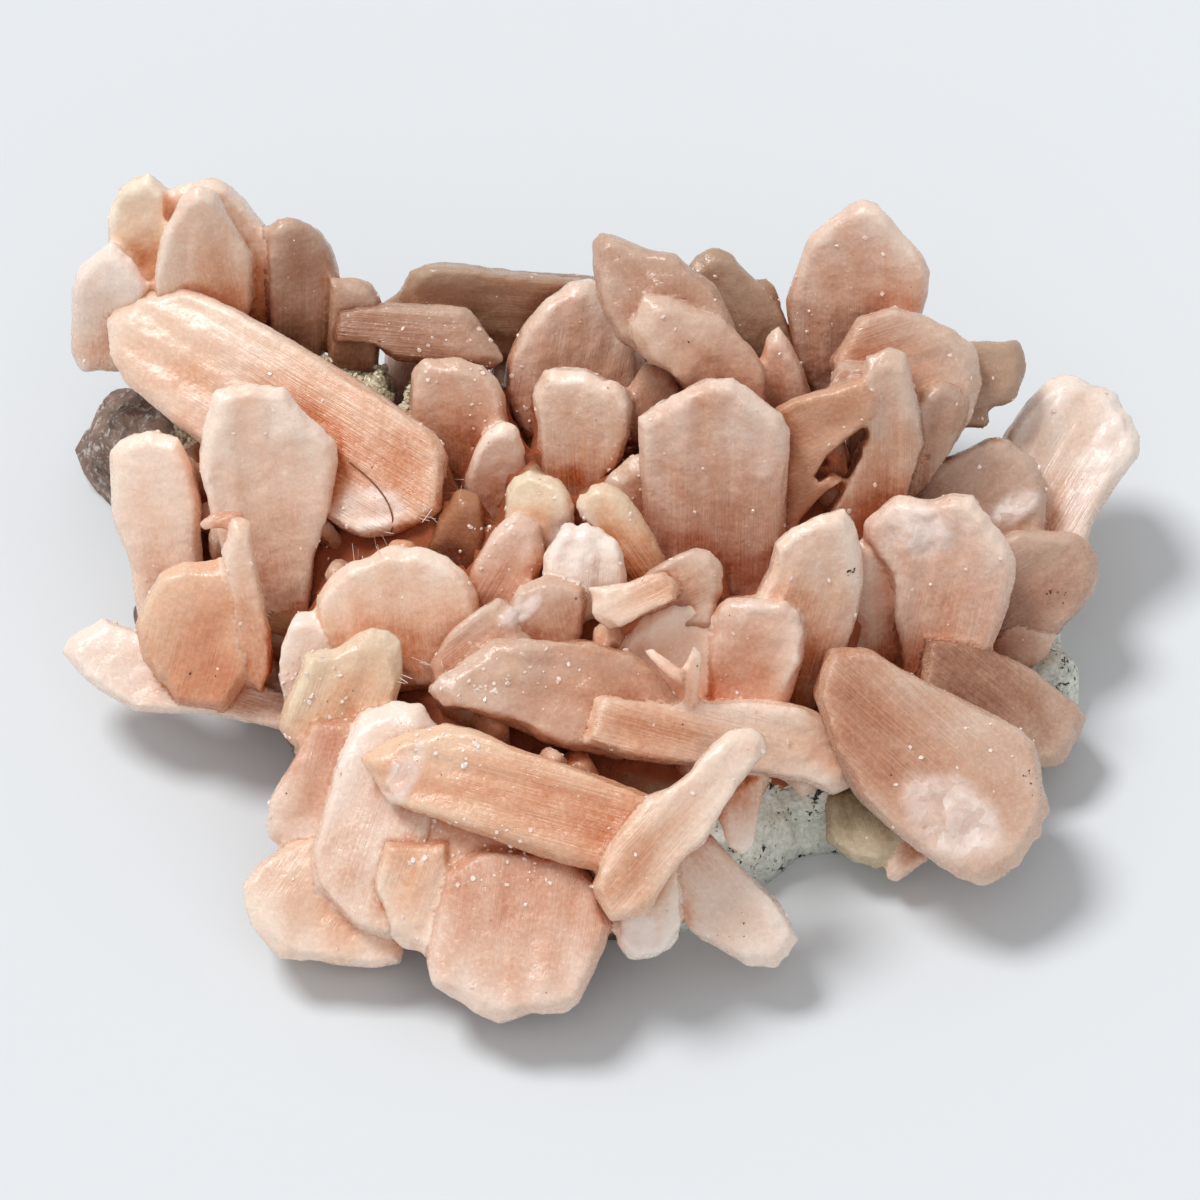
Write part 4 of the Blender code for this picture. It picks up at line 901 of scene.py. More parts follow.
def add_relief(points, normals, skin, members):
    """The points of a piece moved to give it its growth lines, steps, lumps and ragged tips."""
    finish = np.array([FINISHES[grown.crystal.finish] for grown in members])[skin.owner]
    lumps, lines, steps, ragged, _ = finish.T
    place = shifted_places(skin, RELIEF_SHIFT)
    height = lumps * (relief(points, BROAD_LUMPS) + FINE_LUMP_SHARE * relief(points, FINE_LUMPS))
    height += lines * relief(place, GROWTH_LINES)
    height += steps * relief(place, LONG_STEPS)
    height += BROAD_STEP_SHARE * steps * relief(place, BROAD_STEPS)
    height += GRIT_HEIGHT * relief(points, GRIT)
    height += skin.pearl * SHINGLE_HEIGHT * relief(place, SHINGLES)
    moved = points + normals * height[:, None]
    reach = ragged * relief(place, RAGS)
    reach *= smooth_step(1 - skin.root, *TIP_RANGE)
    along = np.array([grown.along for grown in members])[skin.owner]
    return moved + along * reach[:, None]


# Ovals of druse and of bare rock, where no small crystals grow, as seen: right, up, half the
# width, half the height, turn.
DRUSE = [(-30, 28.5, 9.0, 5.0, -35), (-55, 23.0, 6.0, 5.0, 0)]
BARE_ROCK = [(4, -22.0, 4.5, 2.5, 0), (22, -30, 13.0, 8.0, 15), (57, -9, 5.0, 6.0, 0),
             (-61, 21, 8.0, 12.0, 0), (-60, 0, 4.0, 8.0, 0)]
PATCHES = DRUSE + BARE_ROCK
MOST_COVERED = 0.3
MOST_COVERED_TIP = 0.2
SMALL_SPACING = 4.4
SMALL_LENGTHS = (13.0, 11.0, 9.0, 7.5, 6.0, 4.5, 3.5)
SMALL_WIDTHS = (4.0, 7.0)
SMALL_THICKNESSES = (2.2, 4.0)
SMALL_TURN = 50
SMALL_LEAN = 0.4
SMALL_RISE = Vector((0, 0, 0.5))
SMALL_ROOT = 3.0
SMALL_START = 0.3
LEAST_ROOM = 2.0
BARE_HEIGHT = 0.5
SMALL_HUES = ("mauve", "pink", "peach", "orange", "peach", "mauve")


def fits_between(vertex, blades, backdrop):
    """Whether a small crystal's point covers no blade and has something behind it as seen."""
    away = (vertex - EYE).normalized()
    behind = backdrop.ray_cast(vertex + away, away)[3]
    return behind is not None and not hides_a_blade(vertex, blades)


def may_stand(grown, tip, spot, normal, blades, backdrop):
    """Whether a small crystal's tip and all of it above the crust fit between the blades."""
    if patch_share(seen_places(np.array([tip])), PATCHES)[0] >= MOST_COVERED_TIP:
        return False
    return all(fits_between(vertex.co, blades, backdrop) for vertex in grown.mesh.verts
               if (vertex.co - spot).dot(normal) > BARE_HEIGHT)


def small_crystals(crust, blades, draw):
    """Small crystals that cover the crust wherever the blades leave it open."""
    crust.normal_update()
    spots = [(vertex.co.copy(), vertex.normal.copy()) for vertex in crust.verts
             if vertex.co.z > CRUST.underside + 1]
    seen = seen_places(np.array([spot for spot, _ in spots]))
    open_ones = patch_share(seen, PATCHES) < MOST_COVERED
    spots = [spot for spot, is_open in zip(spots, open_ones) if is_open]
    draw.shuffle(spots)
    backdrop = tree_of([crust, lump_mesh(ROCK, COARSE_DETAIL)])
    taken, made = [], []
    for spot, normal in spots:
        if any((spot - other).length < SMALL_SPACING for other in taken):
            continue
        if blades.ray_cast(spot + normal * SMALL_START, normal, LEAST_ROOM)[0]:
            continue
        lean = Vector([draw.uniform(-SMALL_LEAN, SMALL_LEAN) for _ in range(3)])
        towards = (normal + lean + SMALL_RISE).normalized()
        width, thick = draw.uniform(*SMALL_WIDTHS), draw.uniform(*SMALL_THICKNESSES)
        turn = draw.uniform(-SMALL_TURN, SMALL_TURN)
        hue = draw.choice(SMALL_HUES)
        for length in SMALL_LENGTHS:
            length *= draw.uniform(0.85, 1.1)
            stem = Stem(spot - towards * SMALL_ROOT, spot + towards * length,
                        min(width, length), thick, turn, hue, "grown")
            grown = grow(f"small_{len(made)}", stem)
            if may_stand(grown, stem.tip, spot, normal, blades, backdrop):
                taken.append(spot)
                made.append(grown)
                break
            grown.mesh.free()
    return made


def set_attribute(mesh, name, values):
    kind, field = ("FLOAT_VECTOR", "vector") if values.ndim == 2 else ("FLOAT", "value")
    attribute = mesh.attributes.new(name, kind, "POINT")
    attribute.data.foreach_set(field, values.astype(np.float32).ravel())


def placed(name, data):
    """An object in the scene that rides on the only body."""
    made = bpy.data.objects.new(name, data)
    bpy.context.scene.collection.objects.link(made)
    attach(made, "root")
    return made


def dressed(name, mesh, points, node_name):
    """A finished piece, smooth and in metres, whose points move here and that replaces a solid."""
    mesh.vertices.foreach_set("co", (points * MM).astype(np.float32).ravel())
    mesh.polygons.foreach_set("use_smooth", np.ones(len(mesh.polygons), bool))
    mesh.update()
    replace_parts(placed(name, mesh), node_name)


def face_owners(mesh, owner):
    """The owner of each face, from its first point."""
    starts = np.empty(len(mesh.polygons), np.int32)
    mesh.polygons.foreach_get("loop_start", starts)
    corners = np.empty(len(mesh.loops), np.int32)
    mesh.loops.foreach_get("vertex_index", corners)
    return owner[corners[starts]]


LEAST_HEIGHT = 0.3
PLACE_SHIFT = 13.7


def make_sheaf(name, members, everything, materials, voxel):
    """One sheaf of crystals as a single skin. Returns where scattered pieces can sit on it."""
    whole = bmesh.new()
    owners = []
    for index, grown in enumerate(members):
        part = bpy.data.meshes.new("part")
        grown.mesh.to_mesh(part)
        whole.from_mesh(part)
        bpy.data.meshes.remove(part)
        owners += [index] * (len(whole.faces) - len(owners))
    whole.faces.ensure_lookup_table()
    tree = BVHTree.FromBMesh(whole)
    whole.free()
    mesh = remeshed(name, [grown.mesh for grown in members], voxel)
    points, normals, skin = skin_of(mesh, members, tree, owners, everything)
    moved = add_relief(points, normals, skin, members)
    moved[:, 2] = np.maximum(moved[:, 2], LEAST_HEIGHT)
    for attribute, values in (("place", shifted_places(skin, PLACE_SHIFT)),
                              ("depth", color_depth(mesh, moved, normals, skin, members)),
                              ("lined", lined_share(skin, members)), ("pearl", skin.pearl)):
        set_attribute(mesh, attribute, values)
    hues = sorted({grown.crystal.hue for grown in members})
    for hue in hues:
        mesh.materials.append(materials[hue])
    slots = np.array([hues.index(grown.crystal.hue) for grown in members], np.int32)
    mesh.polygons.foreach_set("material_index", slots[face_owners(mesh, skin.owner)])
    dressed(name, mesh, moved, "stilbite_crystals")
    return moved, arrays_of(mesh)[1], skin.hollow


# Finer roughness of the crust and of the rock: size and height.
CRUST_ROUGH = [(2.2, 0.5), (0.9, 0.25)]
ROCK_ROUGH = [(5.0, 1.5), (2.2, 0.8), (0.9, 0.4)]
SMOOTH_FOOT = 1.5


def make_lump(name, shape, lump, rough, material, node_name, everything=None):
    """The rock or the crust: its lump with its finer roughness. The crust's painted shade between the
    crystals also needs to know what stands round it, which is everything."""
    mesh = bpy.data.meshes.new(name)
    shape.to_mesh(mesh)
    points, normals = arrays_of(mesh)
    height = sum(amount * smooth_noise(points, size, amount) for size, amount in rough)
    height *= smooth_step(points[:, 2], lump.underside, lump.underside + SMOOTH_FOOT)
    if everything:
        set_attribute(mesh, "hollow", even_hollowness(mesh, points, normals, everything))
        set_attribute(mesh, "druse", patch_share(seen_places(points), DRUSE))
    mesh.materials.append(material)
    dressed(name, mesh, points + normals * height[:, None], node_name)


# Where scattered pieces can sit: a place on the crystals and the direction out of them.
Spot = namedtuple("Spot", "place out")
MOST_HOLLOW = 0.3
LEAST_UPWARD = -0.3


def spots_anywhere(skins, count, draw):
    """Random open places all over the crystals."""
    found = []
    for points, normals, hollow in skins:
        is_open = (hollow < MOST_HOLLOW) & (normals[:, 2] > LEAST_UPWARD)
        open_ones = np.flatnonzero(is_open).tolist()
        share = round(count * len(points) / sum(len(each[0]) for each in skins))
        for index in draw.sample(open_ones, min(share, len(open_ones))):
            found.append(Spot(Vector(points[index]), Vector(normals[index])))
    return found


def spot_seen(tree, right, up):
    """The place on the crystals that is seen here, if any."""
    towards = SIGHT_MIDDLE + SIGHT_RIGHT * right + SIGHT_UP * up - EYE
    place, out, _, _ = tree.ray_cast(EYE, towards)
    if place is None:
        return None
    return Spot(place, out if out.dot(TO_EYE) > 0 else -out)


def spots_seen(tree, patch, count, draw):
    """Random places on the crystals inside an oval of the view."""
    right, up, half_width, half_height, turn = patch
    turn = math.radians(turn)
    found = []
    for _ in range(count):
        reach, bearing = math.sqrt(draw.random()), draw.uniform(0, math.tau)
        u, v = half_width * reach * math.cos(bearing), half_height * reach * math.sin(bearing)
        found.append(spot_seen(tree, right + u * math.cos(turn) - v * math.sin(turn),
                               up + u * math.sin(turn) + v * math.cos(turn)))
    return [spot for spot in found if spot]


# A plate's levels through its thickness, and how much of its width each one keeps.
PLATE_LEVELS = ((-0.6, 1.0), (0.4, 0.85))


def add_plate(points, faces, spot, draw, size, thick, lean):
    """Adds a small flat piece with a broken outline, lying nearly along the surface."""
    tilt = Vector([draw.uniform(-lean, lean) for _ in range(3)])
    axis = (spot.out + tilt).normalized()
    first = Quaternion(axis, draw.uniform(0, math.tau)) @ axis.orthogonal().normalized()
    second = axis.cross(first) * draw.uniform(0.45, 1.0)
    sides = draw.randint(4, 6)
    start = len(points)
    for level, taper in PLATE_LEVELS:
        for side in range(sides):
            bearing = (side + draw.uniform(-0.2, 0.2)) * math.tau / sides
            reach = size * taper
            points.append(spot.place + axis * level * thick
                          + first * math.cos(bearing) * reach + second * math.sin(bearing) * reach)
    faces.append([start + side for side in reversed(range(sides))])
    faces.append([start + sides + side for side in range(sides)])
    for side in range(sides):
        after = (side + 1) % sides
        faces.append([start + side, start + after, start + sides + after, start + sides + side])


def piece_of(name, points, faces, material):
    mesh = bpy.data.meshes.new(name)
    mesh.from_pydata([point * MM for point in points], [], faces)
    mesh.materials.append(material)
    placed(name, mesh)


def scatter(name, spots, draw, sizes, thick, lean, material):
    """One piece of many small plates, each between the two sizes and as thick as its share."""
    points, faces = [], []
    for spot in spots:
        size = sizes[0] + (sizes[1] - sizes[0]) * draw.random() ** 2
        add_plate(points, faces, spot, draw, size / 2, size * thick, lean)
    piece_of(name, points, faces, material)


# Glassy broken bits, thick on these ovals of the view, each with how many. Their near-white
# colour is partly their own and partly a painted glint.
FLAKE_PATCHES = [
    ((-15, -32, 8.0, 5.0, -20), 60), ((-12, -9, 9.0, 3.5, 10), 50), ((-36, -10, 3.5, 6.0, 30), 25),
    ((-20, -18, 7.0, 2.5, -25), 30), ((-12, 5, 5.0, 6.0, 50), 30), ((5, 17, 4.0, 5.0, 0), 15),
    ((-20, 32, 7.0, 5.0, -20), 30), ((27, 40, 5.0, 8.0, 0), 30), ((-12, 25, 6.0, 5.0, 0), 30)]
FLAKES_ELSEWHERE = 700


def make_flakes(skins, tree, materials):
    draw = random.Random(21)
    spots = spots_anywhere(skins, FLAKES_ELSEWHERE, draw)
    for patch, count in FLAKE_PATCHES:
        spots += spots_seen(tree, patch, count, draw)
    scatter("glassy_flakes", spots, draw, (0.22, 0.85), 0.45, 0.5, materials["flake"])


# White crumbs, and dark specks: right and up in the view, how many and how far apart.
CRUMBS = [(-23.5, -32.5, 4, 0.9), (-9.5, -38, 2, 0.5), (-6, -35, 2, 0.4), (-1, -35.7, 2, 0.3),
          (-15.5, -18.2, 3, 0.5), (-17, -20.5, 2, 0.4), (-35, 5.5, 4, 1.5)]
SPECKS = [(31.3, 3.5, 14, 1.0), (56.5, 1, 5, 0.5), (57.8, 0.3, 4, 0.8), (53.5, -22, 9, 0.9),
          (54.5, -24, 3, 0.8), (-0.5, 22.5, 1, 0.1), (-14, 13, 2, 1.0), (36.5, -22, 1, 0.1),
          (5, -20.5, 4, 3.0), (18, -40, 8, 4.0), (-20, -20, 6, 6.0)]
SPECKS_ELSEWHERE = 60


def spots_near(tree, marks, draw):
    found = []
    for right, up, count, spread in marks:
        for _ in range(count):
            found.append(spot_seen(tree, right + draw.gauss(0, spread / 2),
                                   up + draw.gauss(0, spread / 2)))
    return [spot for spot in found if spot]


def make_specks(skins, tree, materials):
    draw = random.Random(22)
    scatter("white_crumbs", spots_near(tree, CRUMBS, draw), draw, (0.4, 1.1), 0.7, 0.6,
            materials["crumb"])
    spots = spots_near(tree, SPECKS, draw) + spots_anywhere(skins, SPECKS_ELSEWHERE, draw)
    scatter("dark_specks", spots, draw, (0.16, 0.42), 0.35, 0.3, materials["speck"])


GRAINS = 1600
NEAR_ENOUGH = 0.5


def make_grains(crust_tree, tree, materials):
    """The fine crystals of the druse, wherever no blade hides it."""
    draw = random.Random(23)
    spots = []
    for patch in DRUSE:
        for spot in spots_seen(crust_tree, patch, GRAINS, draw):
            if (tree.ray_cast(EYE, spot.place - EYE)[0] - spot.place).length < NEAR_ENOUGH:
                spots.append(spot)
    scatter("druse_grains", spots, draw, (0.35, 1.1), 0.8, 0.9, materials["grain"])


# Where needles stand, as seen: right, up, half the width, half the height, turn.
NEEDLES = [(-30, 6, 5.0, 2.0, 20), (-20, 12, 5.0, 2.0, 40), (-22, -9, 4.0, 1.5, 20)]
NEEDLES_A_PATCH = 9
NEEDLE_RADIUS = 0.055
NEEDLE_RADII = (0.6, 1.3)
NEEDLE_LENGTHS = (1.0, 2.8)
NEEDLE_ROOT = 0.4
NEEDLE_LEAN = 0.9
NEEDLE_RISE = Vector((0, 0, 0.4))
NEEDLE_TAPER = 0.6
NEEDLE_SIDES = 4


def add_needle(points, faces, start, end, radius):
    along = (end - start).normalized()
    first = along.orthogonal().normalized()
    second = along.cross(first)
    base = len(points)
    sides = NEEDLE_SIDES
    for place, share in ((start, 1.0), (end, NEEDLE_TAPER)):
        for side in range(sides):
            bearing = side * math.tau / sides
            points.append(place + (first * math.cos(bearing) + second * math.sin(bearing))
                          * radius * share)
    faces.append([base + side for side in reversed(range(sides))])
    faces.append([base + sides + side for side in range(sides)])
    for side in range(sides):
        after = (side + 1) % sides
        faces.append([base + side, base + after, base + sides + after, base + sides + side])


def make_needles(tree, materials):
    """Fine pale needles standing in the crevices."""
    draw = random.Random(24)
    points, faces = [], []
    for patch in NEEDLES:
        for spot in spots_seen(tree, patch, NEEDLES_A_PATCH, draw):
            lean = Vector([draw.uniform(-NEEDLE_LEAN, NEEDLE_LEAN) for _ in range(3)])
            along = (spot.out + lean + NEEDLE_RISE).normalized()
            add_needle(points, faces, spot.place - along * NEEDLE_ROOT,
                       spot.place + along * draw.uniform(*NEEDLE_LENGTHS),
                       NEEDLE_RADIUS * draw.uniform(*NEEDLE_RADII))
    piece_of("needles", points, faces, materials["crumb"])


# The rust-brown fibre on the long blade at the left, as seen.
FIBRE = [(-31.3, 17.2), (-29.6, 15.9), (-28.0, 14.4), (-26.7, 12.6), (-26.0, 11.0), (-25.8, 9.6),
         (-26.1, 8.4)]
FIBRE_RADIUS = 0.11


def make_fibre(tree, materials):
    data = bpy.data.curves.new("rust_fibre", "CURVE")
    data.dimensions = "3D"
    data.bevel_depth = FIBRE_RADIUS * MM
    data.bevel_resolution = 2
    data.use_fill_caps = True
    spline = data.splines.new("NURBS")
    spots = [spot_seen(tree, right, up) for right, up in FIBRE]
    spline.points.add(len(spots) - 1)
    for point, spot in zip(spline.points, spots):
        point.co = (*(spot.place + TO_EYE * 2 * FIBRE_RADIUS) * MM, 1)
    spline.order_u = 4
    spline.use_endpoint_u = True
    data.materials.append(materials["fibre"])
    placed("rust_fibre", data)


def srgb(color):
    """A colour out of 255 as a shader takes it."""
    values = [value / 255 for value in color]
    linear = [v / 12.92 if v <= 0.04045 else ((v + 0.055) / 1.055) ** 2.4 for v in values]
    return (*linear, 1.0)


def node(tree, kind, inputs=(), **settings):
    """Adds a node. An input given as another node's socket is linked."""
    made = tree.nodes.new(kind)
    for name, value in settings.items():
        setattr(made, name, value)
    for name, value in dict(inputs).items():
        if isinstance(value, bpy.types.NodeSocket):
            tree.links.new(value, made.inputs[name])
        else:
            made.inputs[name].default_value = value
    return made


def attribute(tree, name, output="Fac"):
    return node(tree, "ShaderNodeAttribute", attribute_name=name).outputs[output]


def calc(tree, operation, first, second=0.5, clamp=False):
    made = node(tree, "ShaderNodeMath", {0: first, 1: second}, operation=operation,
                use_clamp=clamp)
    return made.outputs[0]


def mixed(tree, share, first, second):
    """Two colours mixed."""
    made = node(tree, "ShaderNodeMix", {0: share, 6: first, 7: second}, data_type="RGBA")
    return made.outputs[2]


def ranged(tree, value, low, high, to_low=0.0, to_high=1.0):
    made = node(tree, "ShaderNodeMapRange", {
        "Value": value, "From Min": low, "From Max": high, "To Min": to_low, "To Max": to_high})
    return made.outputs[0]


def ramp(tree, value, stops):
    made = node(tree, "ShaderNodeValToRGB", {"Fac": value})
    elements = made.color_ramp.elements
    while len(elements) < len(stops):
        elements.new(0.5)
    for element, (position, color) in zip(elements, stops):
        element.position = position
        element.color = color
    return made.outputs["Color"]


def vector_calc(tree, operation, first, second):
    made = node(tree, "ShaderNodeVectorMath", {0: first, 1: second}, operation=operation)
    return made.outputs[0]


def noise_texture(tree, vector, scale, detail=3.0, roughness=0.55):
    made = node(tree, "ShaderNodeTexNoise", {
        "Vector": vector, "Scale": scale, "Detail": detail, "Roughness": roughness})
    return made.outputs["Fac"]


def object_place(tree):
    """The place on the object in millimetres."""
    place = node(tree, "ShaderNodeTexCoord").outputs["Object"]
    return vector_calc(tree, "MULTIPLY", place, (1 / MM, 1 / MM, 1 / MM))


def new_material(name):
    material = bpy.data.materials.new(name)
    material.use_nodes = True
    tree = material.node_tree
    return material, tree, tree.nodes["Principled BSDF"]


def connect(tree, shader, inputs):
    for name, value in inputs.items():
        if isinstance(value, bpy.types.NodeSocket):
            tree.links.new(value, shader.inputs[name])
        else:
            shader.inputs[name].default_value = value


PEARL_SHEEN_COLOR = (246, 228, 218)
# Painted shade: the deepest colour, where the shade painted in hollows and seams adds up.
CREVICE_SHADE_COLOR = (158, 74, 34)
# How often the growth lines turn in a millimetre across, out of and along a crystal, then how
# much each of them deepens and lightens the colour; the lightening is partly their own tone and
# partly painted highlight.
LINE_SCALE = (4.5, 4.5, 0.12)
LINE_TONES = (0.04, -0.15)
GRAIN_SCALE = 1.7
GRAIN_TONES = (0.09, -0.09)
LEAF_SCALE = 0.5
LEAF_BEND_SCALE = 0.45
LEAF_BEND = (3, 3, 3)
CRYSTAL_ROUGHNESS = (0.14, 0.34)


def cleaved_leaves(tree, place):
    """Cleavage leaves with bent borders, each with its own brightness of painted sheen."""
    bend = vector_calc(tree, "MULTIPLY", noise_texture(tree, place, LEAF_BEND_SCALE, 1.0), LEAF_BEND)
    bent = vector_calc(tree, "ADD", bend, place)
    leaves = node(tree, "ShaderNodeTexVoronoi", {"Vector": bent, "Scale": LEAF_SCALE})
    return ranged(tree, leaves.outputs["Color"], 0.2, 0.8)


def stilbite_material(name, hue):
    """Milky crystal: pale at tips and edges, deeper towards the root, lined along its grain. The
    shade of its hollows and seams, the highlights of its sharp edges and its pearly sheen are
    painted into its colour.
    """
    material, tree, shader = new_material(f"stilbite_{name}")
    place = object_place(tree)
    lined = attribute(tree, "lined")
    pearl = attribute(tree, "pearl")
    own_place = vector_calc(tree, "MULTIPLY", attribute(tree, "place", "Vector"), LINE_SCALE)
    lines = noise_texture(tree, own_place, 1.0, 2.0)
    grain = noise_texture(tree, place, GRAIN_SCALE, 3.0, 0.6)
    leaf = calc(tree, "MULTIPLY", cleaved_leaves(tree, place), pearl)
    # The paler side of the growth lines is partly painted highlight.
    streak = calc(tree, "MULTIPLY", ranged(tree, lines, 0.46, 0.68, *LINE_TONES), lined)
    depth = calc(tree, "ADD", attribute(tree, "depth"), streak)
    depth = calc(tree, "ADD", depth, ranged(tree, grain, 0.3, 0.7, *GRAIN_TONES), clamp=True)
    color = ramp(tree, depth, [
        (0.0, srgb(hue.pale)), (0.42, srgb(hue.middle)), (0.84, srgb(hue.deep)),
        (1.0, srgb(CREVICE_SHADE_COLOR))])
    # Painted sheen: the pearly patches and their leaves mixed towards a pale colour.
    pearly = calc(tree, "ADD", calc(tree, "MULTIPLY", pearl, 0.4),
                  calc(tree, "MULTIPLY", leaf, 0.5))
    color = mixed(tree, pearly, color, srgb(PEARL_SHEEN_COLOR))
    height = calc(tree, "ADD", calc(tree, "MULTIPLY", lines, lined),
                  calc(tree, "MULTIPLY", grain, 0.5))
    height = calc(tree, "ADD", height, leaf)
    bump = node(tree, "ShaderNodeBump", {"Strength": 0.6, "Distance": 0.0004, "Height": height})
    shader.subsurface_method = "BURLEY"
    connect(tree, shader, {
        "Base Color": color, "Roughness": ranged(tree, grain, 0.3, 0.7, *CRYSTAL_ROUGHNESS),
        "IOR": 1.52, "Subsurface Weight": 0.34, "Subsurface Radius": (1.0, 0.55, 0.36),
        "Subsurface Scale": 0.0036, "Normal": bump.outputs[0]})
    return material


BASALT_DARK = (98, 78, 68)
BASALT_PURPLE = (148, 122, 108)
MOTTLE_WHITE = (206, 198, 190)
MATRIX_PALE = (242, 243, 234)
MATRIX_GREY = (214, 216, 202)
MATRIX_SPECK = (44, 40, 36)
# Where the rock turns pale: from x to x, and how far that wanders.
PALE_START = (8.0, 14.0)
EDGE_WANDER = 12.0


def basalt_material():
    """Dark purple-brown basalt with white mottling, pale with black specks towards the right."""
    material, tree, shader = new_material("basalt")
    place = object_place(tree)
    coarse = noise_texture(tree, place, 0.35, 4.0, 0.6)
    grains = noise_texture(tree, place, 1.6, 3.0, 0.7)
    dark = ramp(tree, coarse, [(0.35, srgb(BASALT_DARK)), (0.62, srgb(BASALT_PURPLE))])
    white = ranged(tree, noise_texture(tree, place, 0.8, 6.0, 0.75), 0.52, 0.62)
    mottled = mixed(tree, calc(tree, "MULTIPLY", white, 0.75), dark, srgb(MOTTLE_WHITE))
    specks = calc(tree, "ADD", noise_texture(tree, place, 1.3, 4.0, 0.7),
                  calc(tree, "MULTIPLY", coarse, 0.5))
    pale = mixed(tree, ranged(tree, grains, 0.4, 0.6), srgb(MATRIX_GREY), srgb(MATRIX_PALE))
    pale = mixed(tree, ranged(tree, specks, 0.84, 0.89), pale, srgb(MATRIX_SPECK))
    parts = node(tree, "ShaderNodeSeparateXYZ", {"Vector": place})
    edge = calc(tree, "MULTIPLY", coarse, EDGE_WANDER)
    right = ranged(tree, calc(tree, "ADD", parts.outputs[0], edge), *PALE_START)
    color = mixed(tree, right, mottled, pale)
    height = calc(tree, "ADD", coarse, calc(tree, "MULTIPLY", grains, 0.4))
    bump = node(tree, "ShaderNodeBump", {"Strength": 0.6, "Distance": 0.0006, "Height": height})
    connect(tree, shader, {"Base Color": color, "Roughness": 0.8, "Normal": bump.outputs[0]})
    return material


DRUSE_CREAM = (206, 192, 160)
DRUSE_GREEN = (150, 140, 112)
CREVICE_SHADE_BROWN = (160, 82, 42)


def crust_material():
    """Fine cream and grey-green grains over the rock, with painted shade in brown where it is deep
    between crystals.
    """
    material, tree, shader = new_material("druse_crust")
    place = object_place(tree)
    coarse = noise_texture(tree, place, 0.3, 3.0)
    grains = noise_texture(tree, place, 2.2, 3.0, 0.7)
    color = ramp(tree, coarse, [(0.38, srgb(DRUSE_GREEN)), (0.58, srgb(DRUSE_CREAM))])
    color = mixed(tree, ranged(tree, grains, 0.35, 0.6, 0.5, 0.0), color, srgb(DRUSE_GREEN))
    # Painted shade: brown where the crust is closed in between crystals, except on the druse.
    deep = calc(tree, "MULTIPLY", ranged(tree, attribute(tree, "hollow"), 0.12, 0.34),
                calc(tree, "SUBTRACT", 1.0, attribute(tree, "druse")))
    color = mixed(tree, deep, color, srgb(CREVICE_SHADE_BROWN))
    bump = node(tree, "ShaderNodeBump", {"Strength": 0.7, "Distance": 0.0005, "Height": grains})
    connect(tree, shader, {
        "Base Color": color, "Roughness": 0.7, "Subsurface Weight": 0.4,
        "Subsurface Radius": (1.0, 0.5, 0.3), "Subsurface Scale": 0.001,
        "Normal": bump.outputs[0]})
    return material


# A scattered piece's two colours and its roughness.
Small = namedtuple("Small", "dark light rough")
SMALL_MATERIALS = {
    # flake: near-white, partly its own colour and partly a painted glint.
    "flake": Small((236, 206, 188), (253, 242, 234), 0.16),
    "crumb": Small((240, 226, 212), (253, 248, 242), 0.5),
    "speck": Small((30, 24, 20), (72, 58, 46), 0.5),
    "grain": Small((190, 178, 148), (234, 222, 196), 0.45),
    "fibre": Small((110, 62, 28), (150, 96, 52), 0.4),
}


def small_material(name, look):
    """A scattered piece's material: it turns between its colours from place to place."""
    material, tree, shader = new_material(name)
    share = ranged(tree, noise_texture(tree, object_place(tree), 0.9, 3.0), 0.35, 0.65)
    color = mixed(tree, share, srgb(look.dark), srgb(look.light))
    connect(tree, shader, {"Base Color": color, "Roughness": look.rough})
    return material


FLOOR_COLOR = (219, 223, 226)
FLOOR_SIZE = 3.0


def make_stage():
    bpy.ops.mesh.primitive_plane_add(size=FLOOR_SIZE, location=(0, 0, 0))
    floor = bpy.context.object
    floor.name = "table"
    material, tree, shader = new_material("table")
    connect(tree, shader, {
        "Base Color": srgb(FLOOR_COLOR), "Roughness": 0.9, "Specular IOR Level": 0.1})
    floor.data.materials.append(material)


# Where each light comes from, its strength and how wide it is in degrees.
LIGHTS = {
    "key": (Vector((-0.46, 0.2, 1.0)), 2.05, 20),
    "fill": (Vector((0.1, -0.9, 0.8)), 0.3, 60),
}
WORLD_COLOR = (0.97, 0.98, 1.0, 1)
WORLD_STRENGTH = 0.52


def make_lights():
    for name, (place, energy, width) in LIGHTS.items():
        data = bpy.data.lights.new(name, "SUN")
        data.energy = energy
        data.angle = math.radians(width)
        light = bpy.data.objects.new(name, data)
        light.rotation_mode = "QUATERNION"
        light.rotation_quaternion = place.to_track_quat("Z", "Y")
        bpy.context.scene.collection.objects.link(light)
    world = bpy.data.worlds.new("soft_light")
    world.use_nodes = True
    background = world.node_tree.nodes["Background"]
    background.inputs["Color"].default_value = WORLD_COLOR
    background.inputs["Strength"].default_value = WORLD_STRENGTH
    bpy.context.scene.world = world


LENS = 216.0
SENSOR = 36.0


def make_camera():
    data = bpy.data.cameras.new("camera")
    data.lens = LENS
    data.sensor_width = SENSOR
    data.clip_end = 20.0
    camera = bpy.data.objects.new("camera", data)
    camera.location = EYE * MM
    camera.rotation_mode = "QUATERNION"
    camera.rotation_quaternion = TO_EYE.to_track_quat("Z", "Y")
    bpy.context.scene.collection.objects.link(camera)
    bpy.context.scene.camera = camera


def tree_of(meshes):
    """A search tree of all these meshes together."""
    points, faces = [], []
    for mesh in meshes:
        mesh.verts.index_update()
        start = len(points)
        points += [vertex.co.copy() for vertex in mesh.verts]
        faces += [[start + vertex.index for vertex in face.verts] for face in mesh.faces]
    return BVHTree.FromPolygons(points, faces)


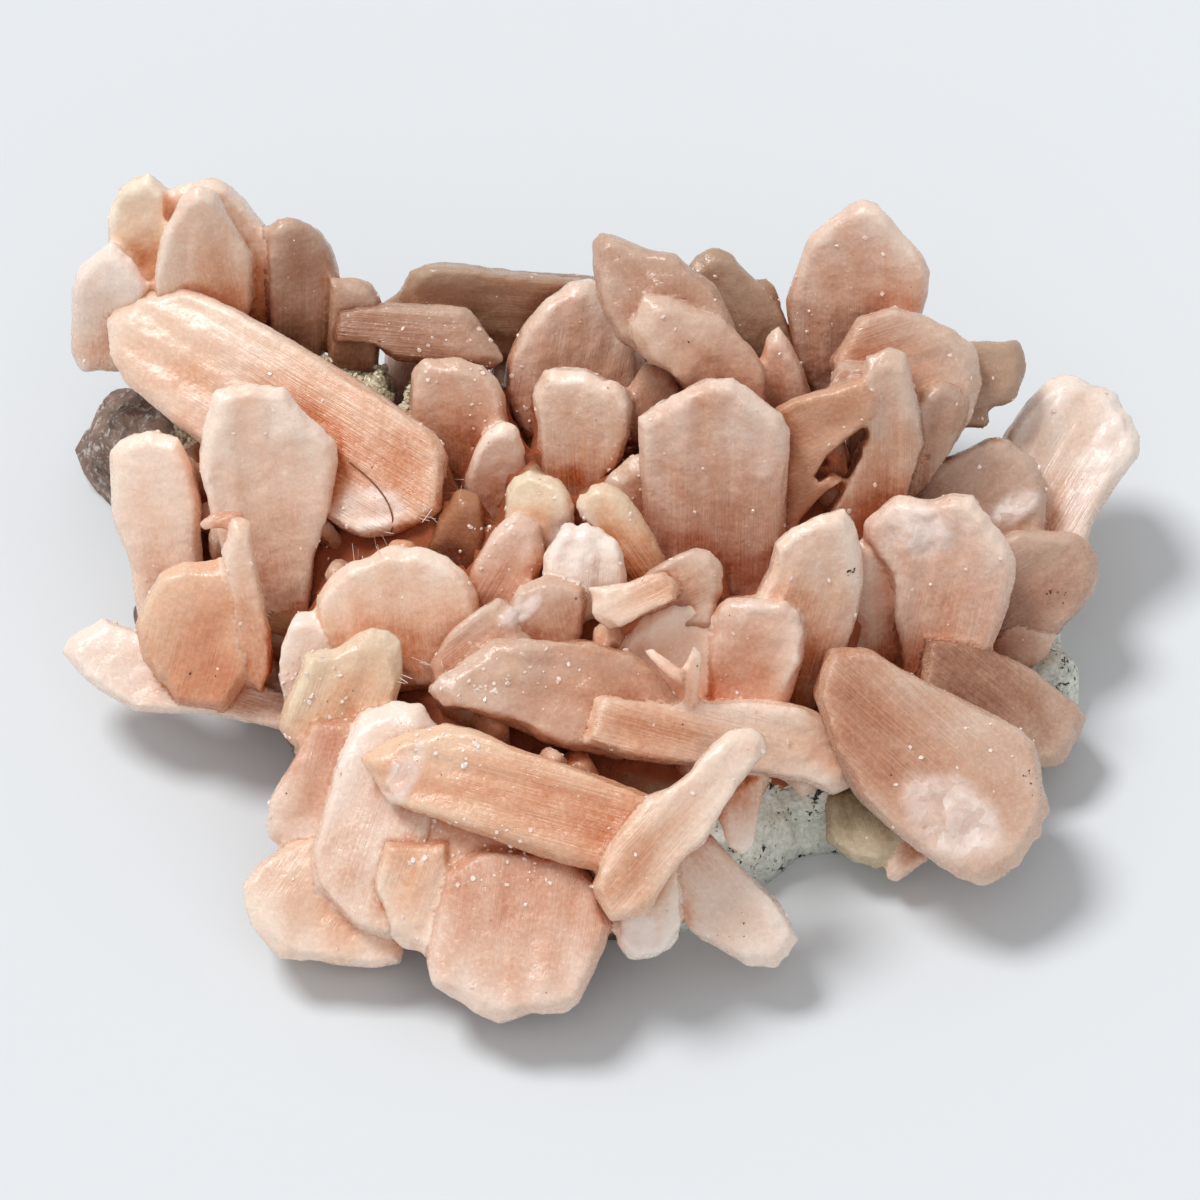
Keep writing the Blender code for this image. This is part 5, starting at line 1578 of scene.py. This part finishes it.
def tree_of_objects(names):
    """A search tree of finished pieces, in millimetres."""
    points, faces = [], []
    for name in names:
        mesh = bpy.data.objects[name].data
        start = len(points)
        points += (arrays_of(mesh)[0] / MM).tolist()
        counts = np.empty(len(mesh.polygons), np.int32)
        mesh.polygons.foreach_get("loop_total", counts)
        corners = np.empty(len(mesh.loops), np.int32)
        mesh.loops.foreach_get("vertex_index", corners)
        faces += [face.tolist() for face in np.split(corners + start, np.cumsum(counts)[:-1])]
    return BVHTree.FromPolygons(points, faces)


COARSE_SHEAVES = ("rear_sheaf", "small_crystals")
SMALL_SEED = 4


def main():
    bpy.context.scene.view_settings.view_transform = "Standard"
    make_stage()
    make_lights()
    make_camera()
    voxel = VOXEL
    sheaves = {
        sheaf: [grow(name, crystal) for name, crystal in members.items()]
        for sheaf, members in SHEAVES.items()
    }
    solids = [grown.mesh for members in sheaves.values() for grown in members]
    blades = tree_of(solids)
    detail = LUMP_DETAIL
    crust = settled_crust(detail, blades)
    coarse_crust = settled_crust(COARSE_DETAIL, blades)
    sheaves["small_crystals"] = small_crystals(coarse_crust, blades, random.Random(SMALL_SEED))
    solids += [grown.mesh for grown in sheaves["small_crystals"]]
    solids.append(coarse_crust)
    everything = tree_of(solids)
    materials = {name: stilbite_material(name, hue) for name, hue in HUES.items()}
    skins = []
    for name, members in sheaves.items():
        coarse = name in COARSE_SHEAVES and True
        size = COARSE_VOXEL if coarse else voxel
        skins.append(make_sheaf(name, members, everything, materials, size))
    make_lump("druse_crust", crust, CRUST, CRUST_ROUGH, crust_material(),
              "stilbite_crystals", everything)
    make_lump("basalt_matrix_rock", lump_mesh(ROCK, detail), ROCK, ROCK_ROUGH, basalt_material(),
              "basalt_matrix")
    small = {name: small_material(name, look) for name, look in SMALL_MATERIALS.items()}
    bpy.context.view_layer.update()
    tree = tree_of_objects([*sheaves, "druse_crust"])
    make_flakes(skins, tree, small)
    make_specks(skins, tree, small)
    make_grains(tree_of_objects(["druse_crust"]), tree, small)
    make_needles(tree, small)
    make_fibre(tree, small)


main()
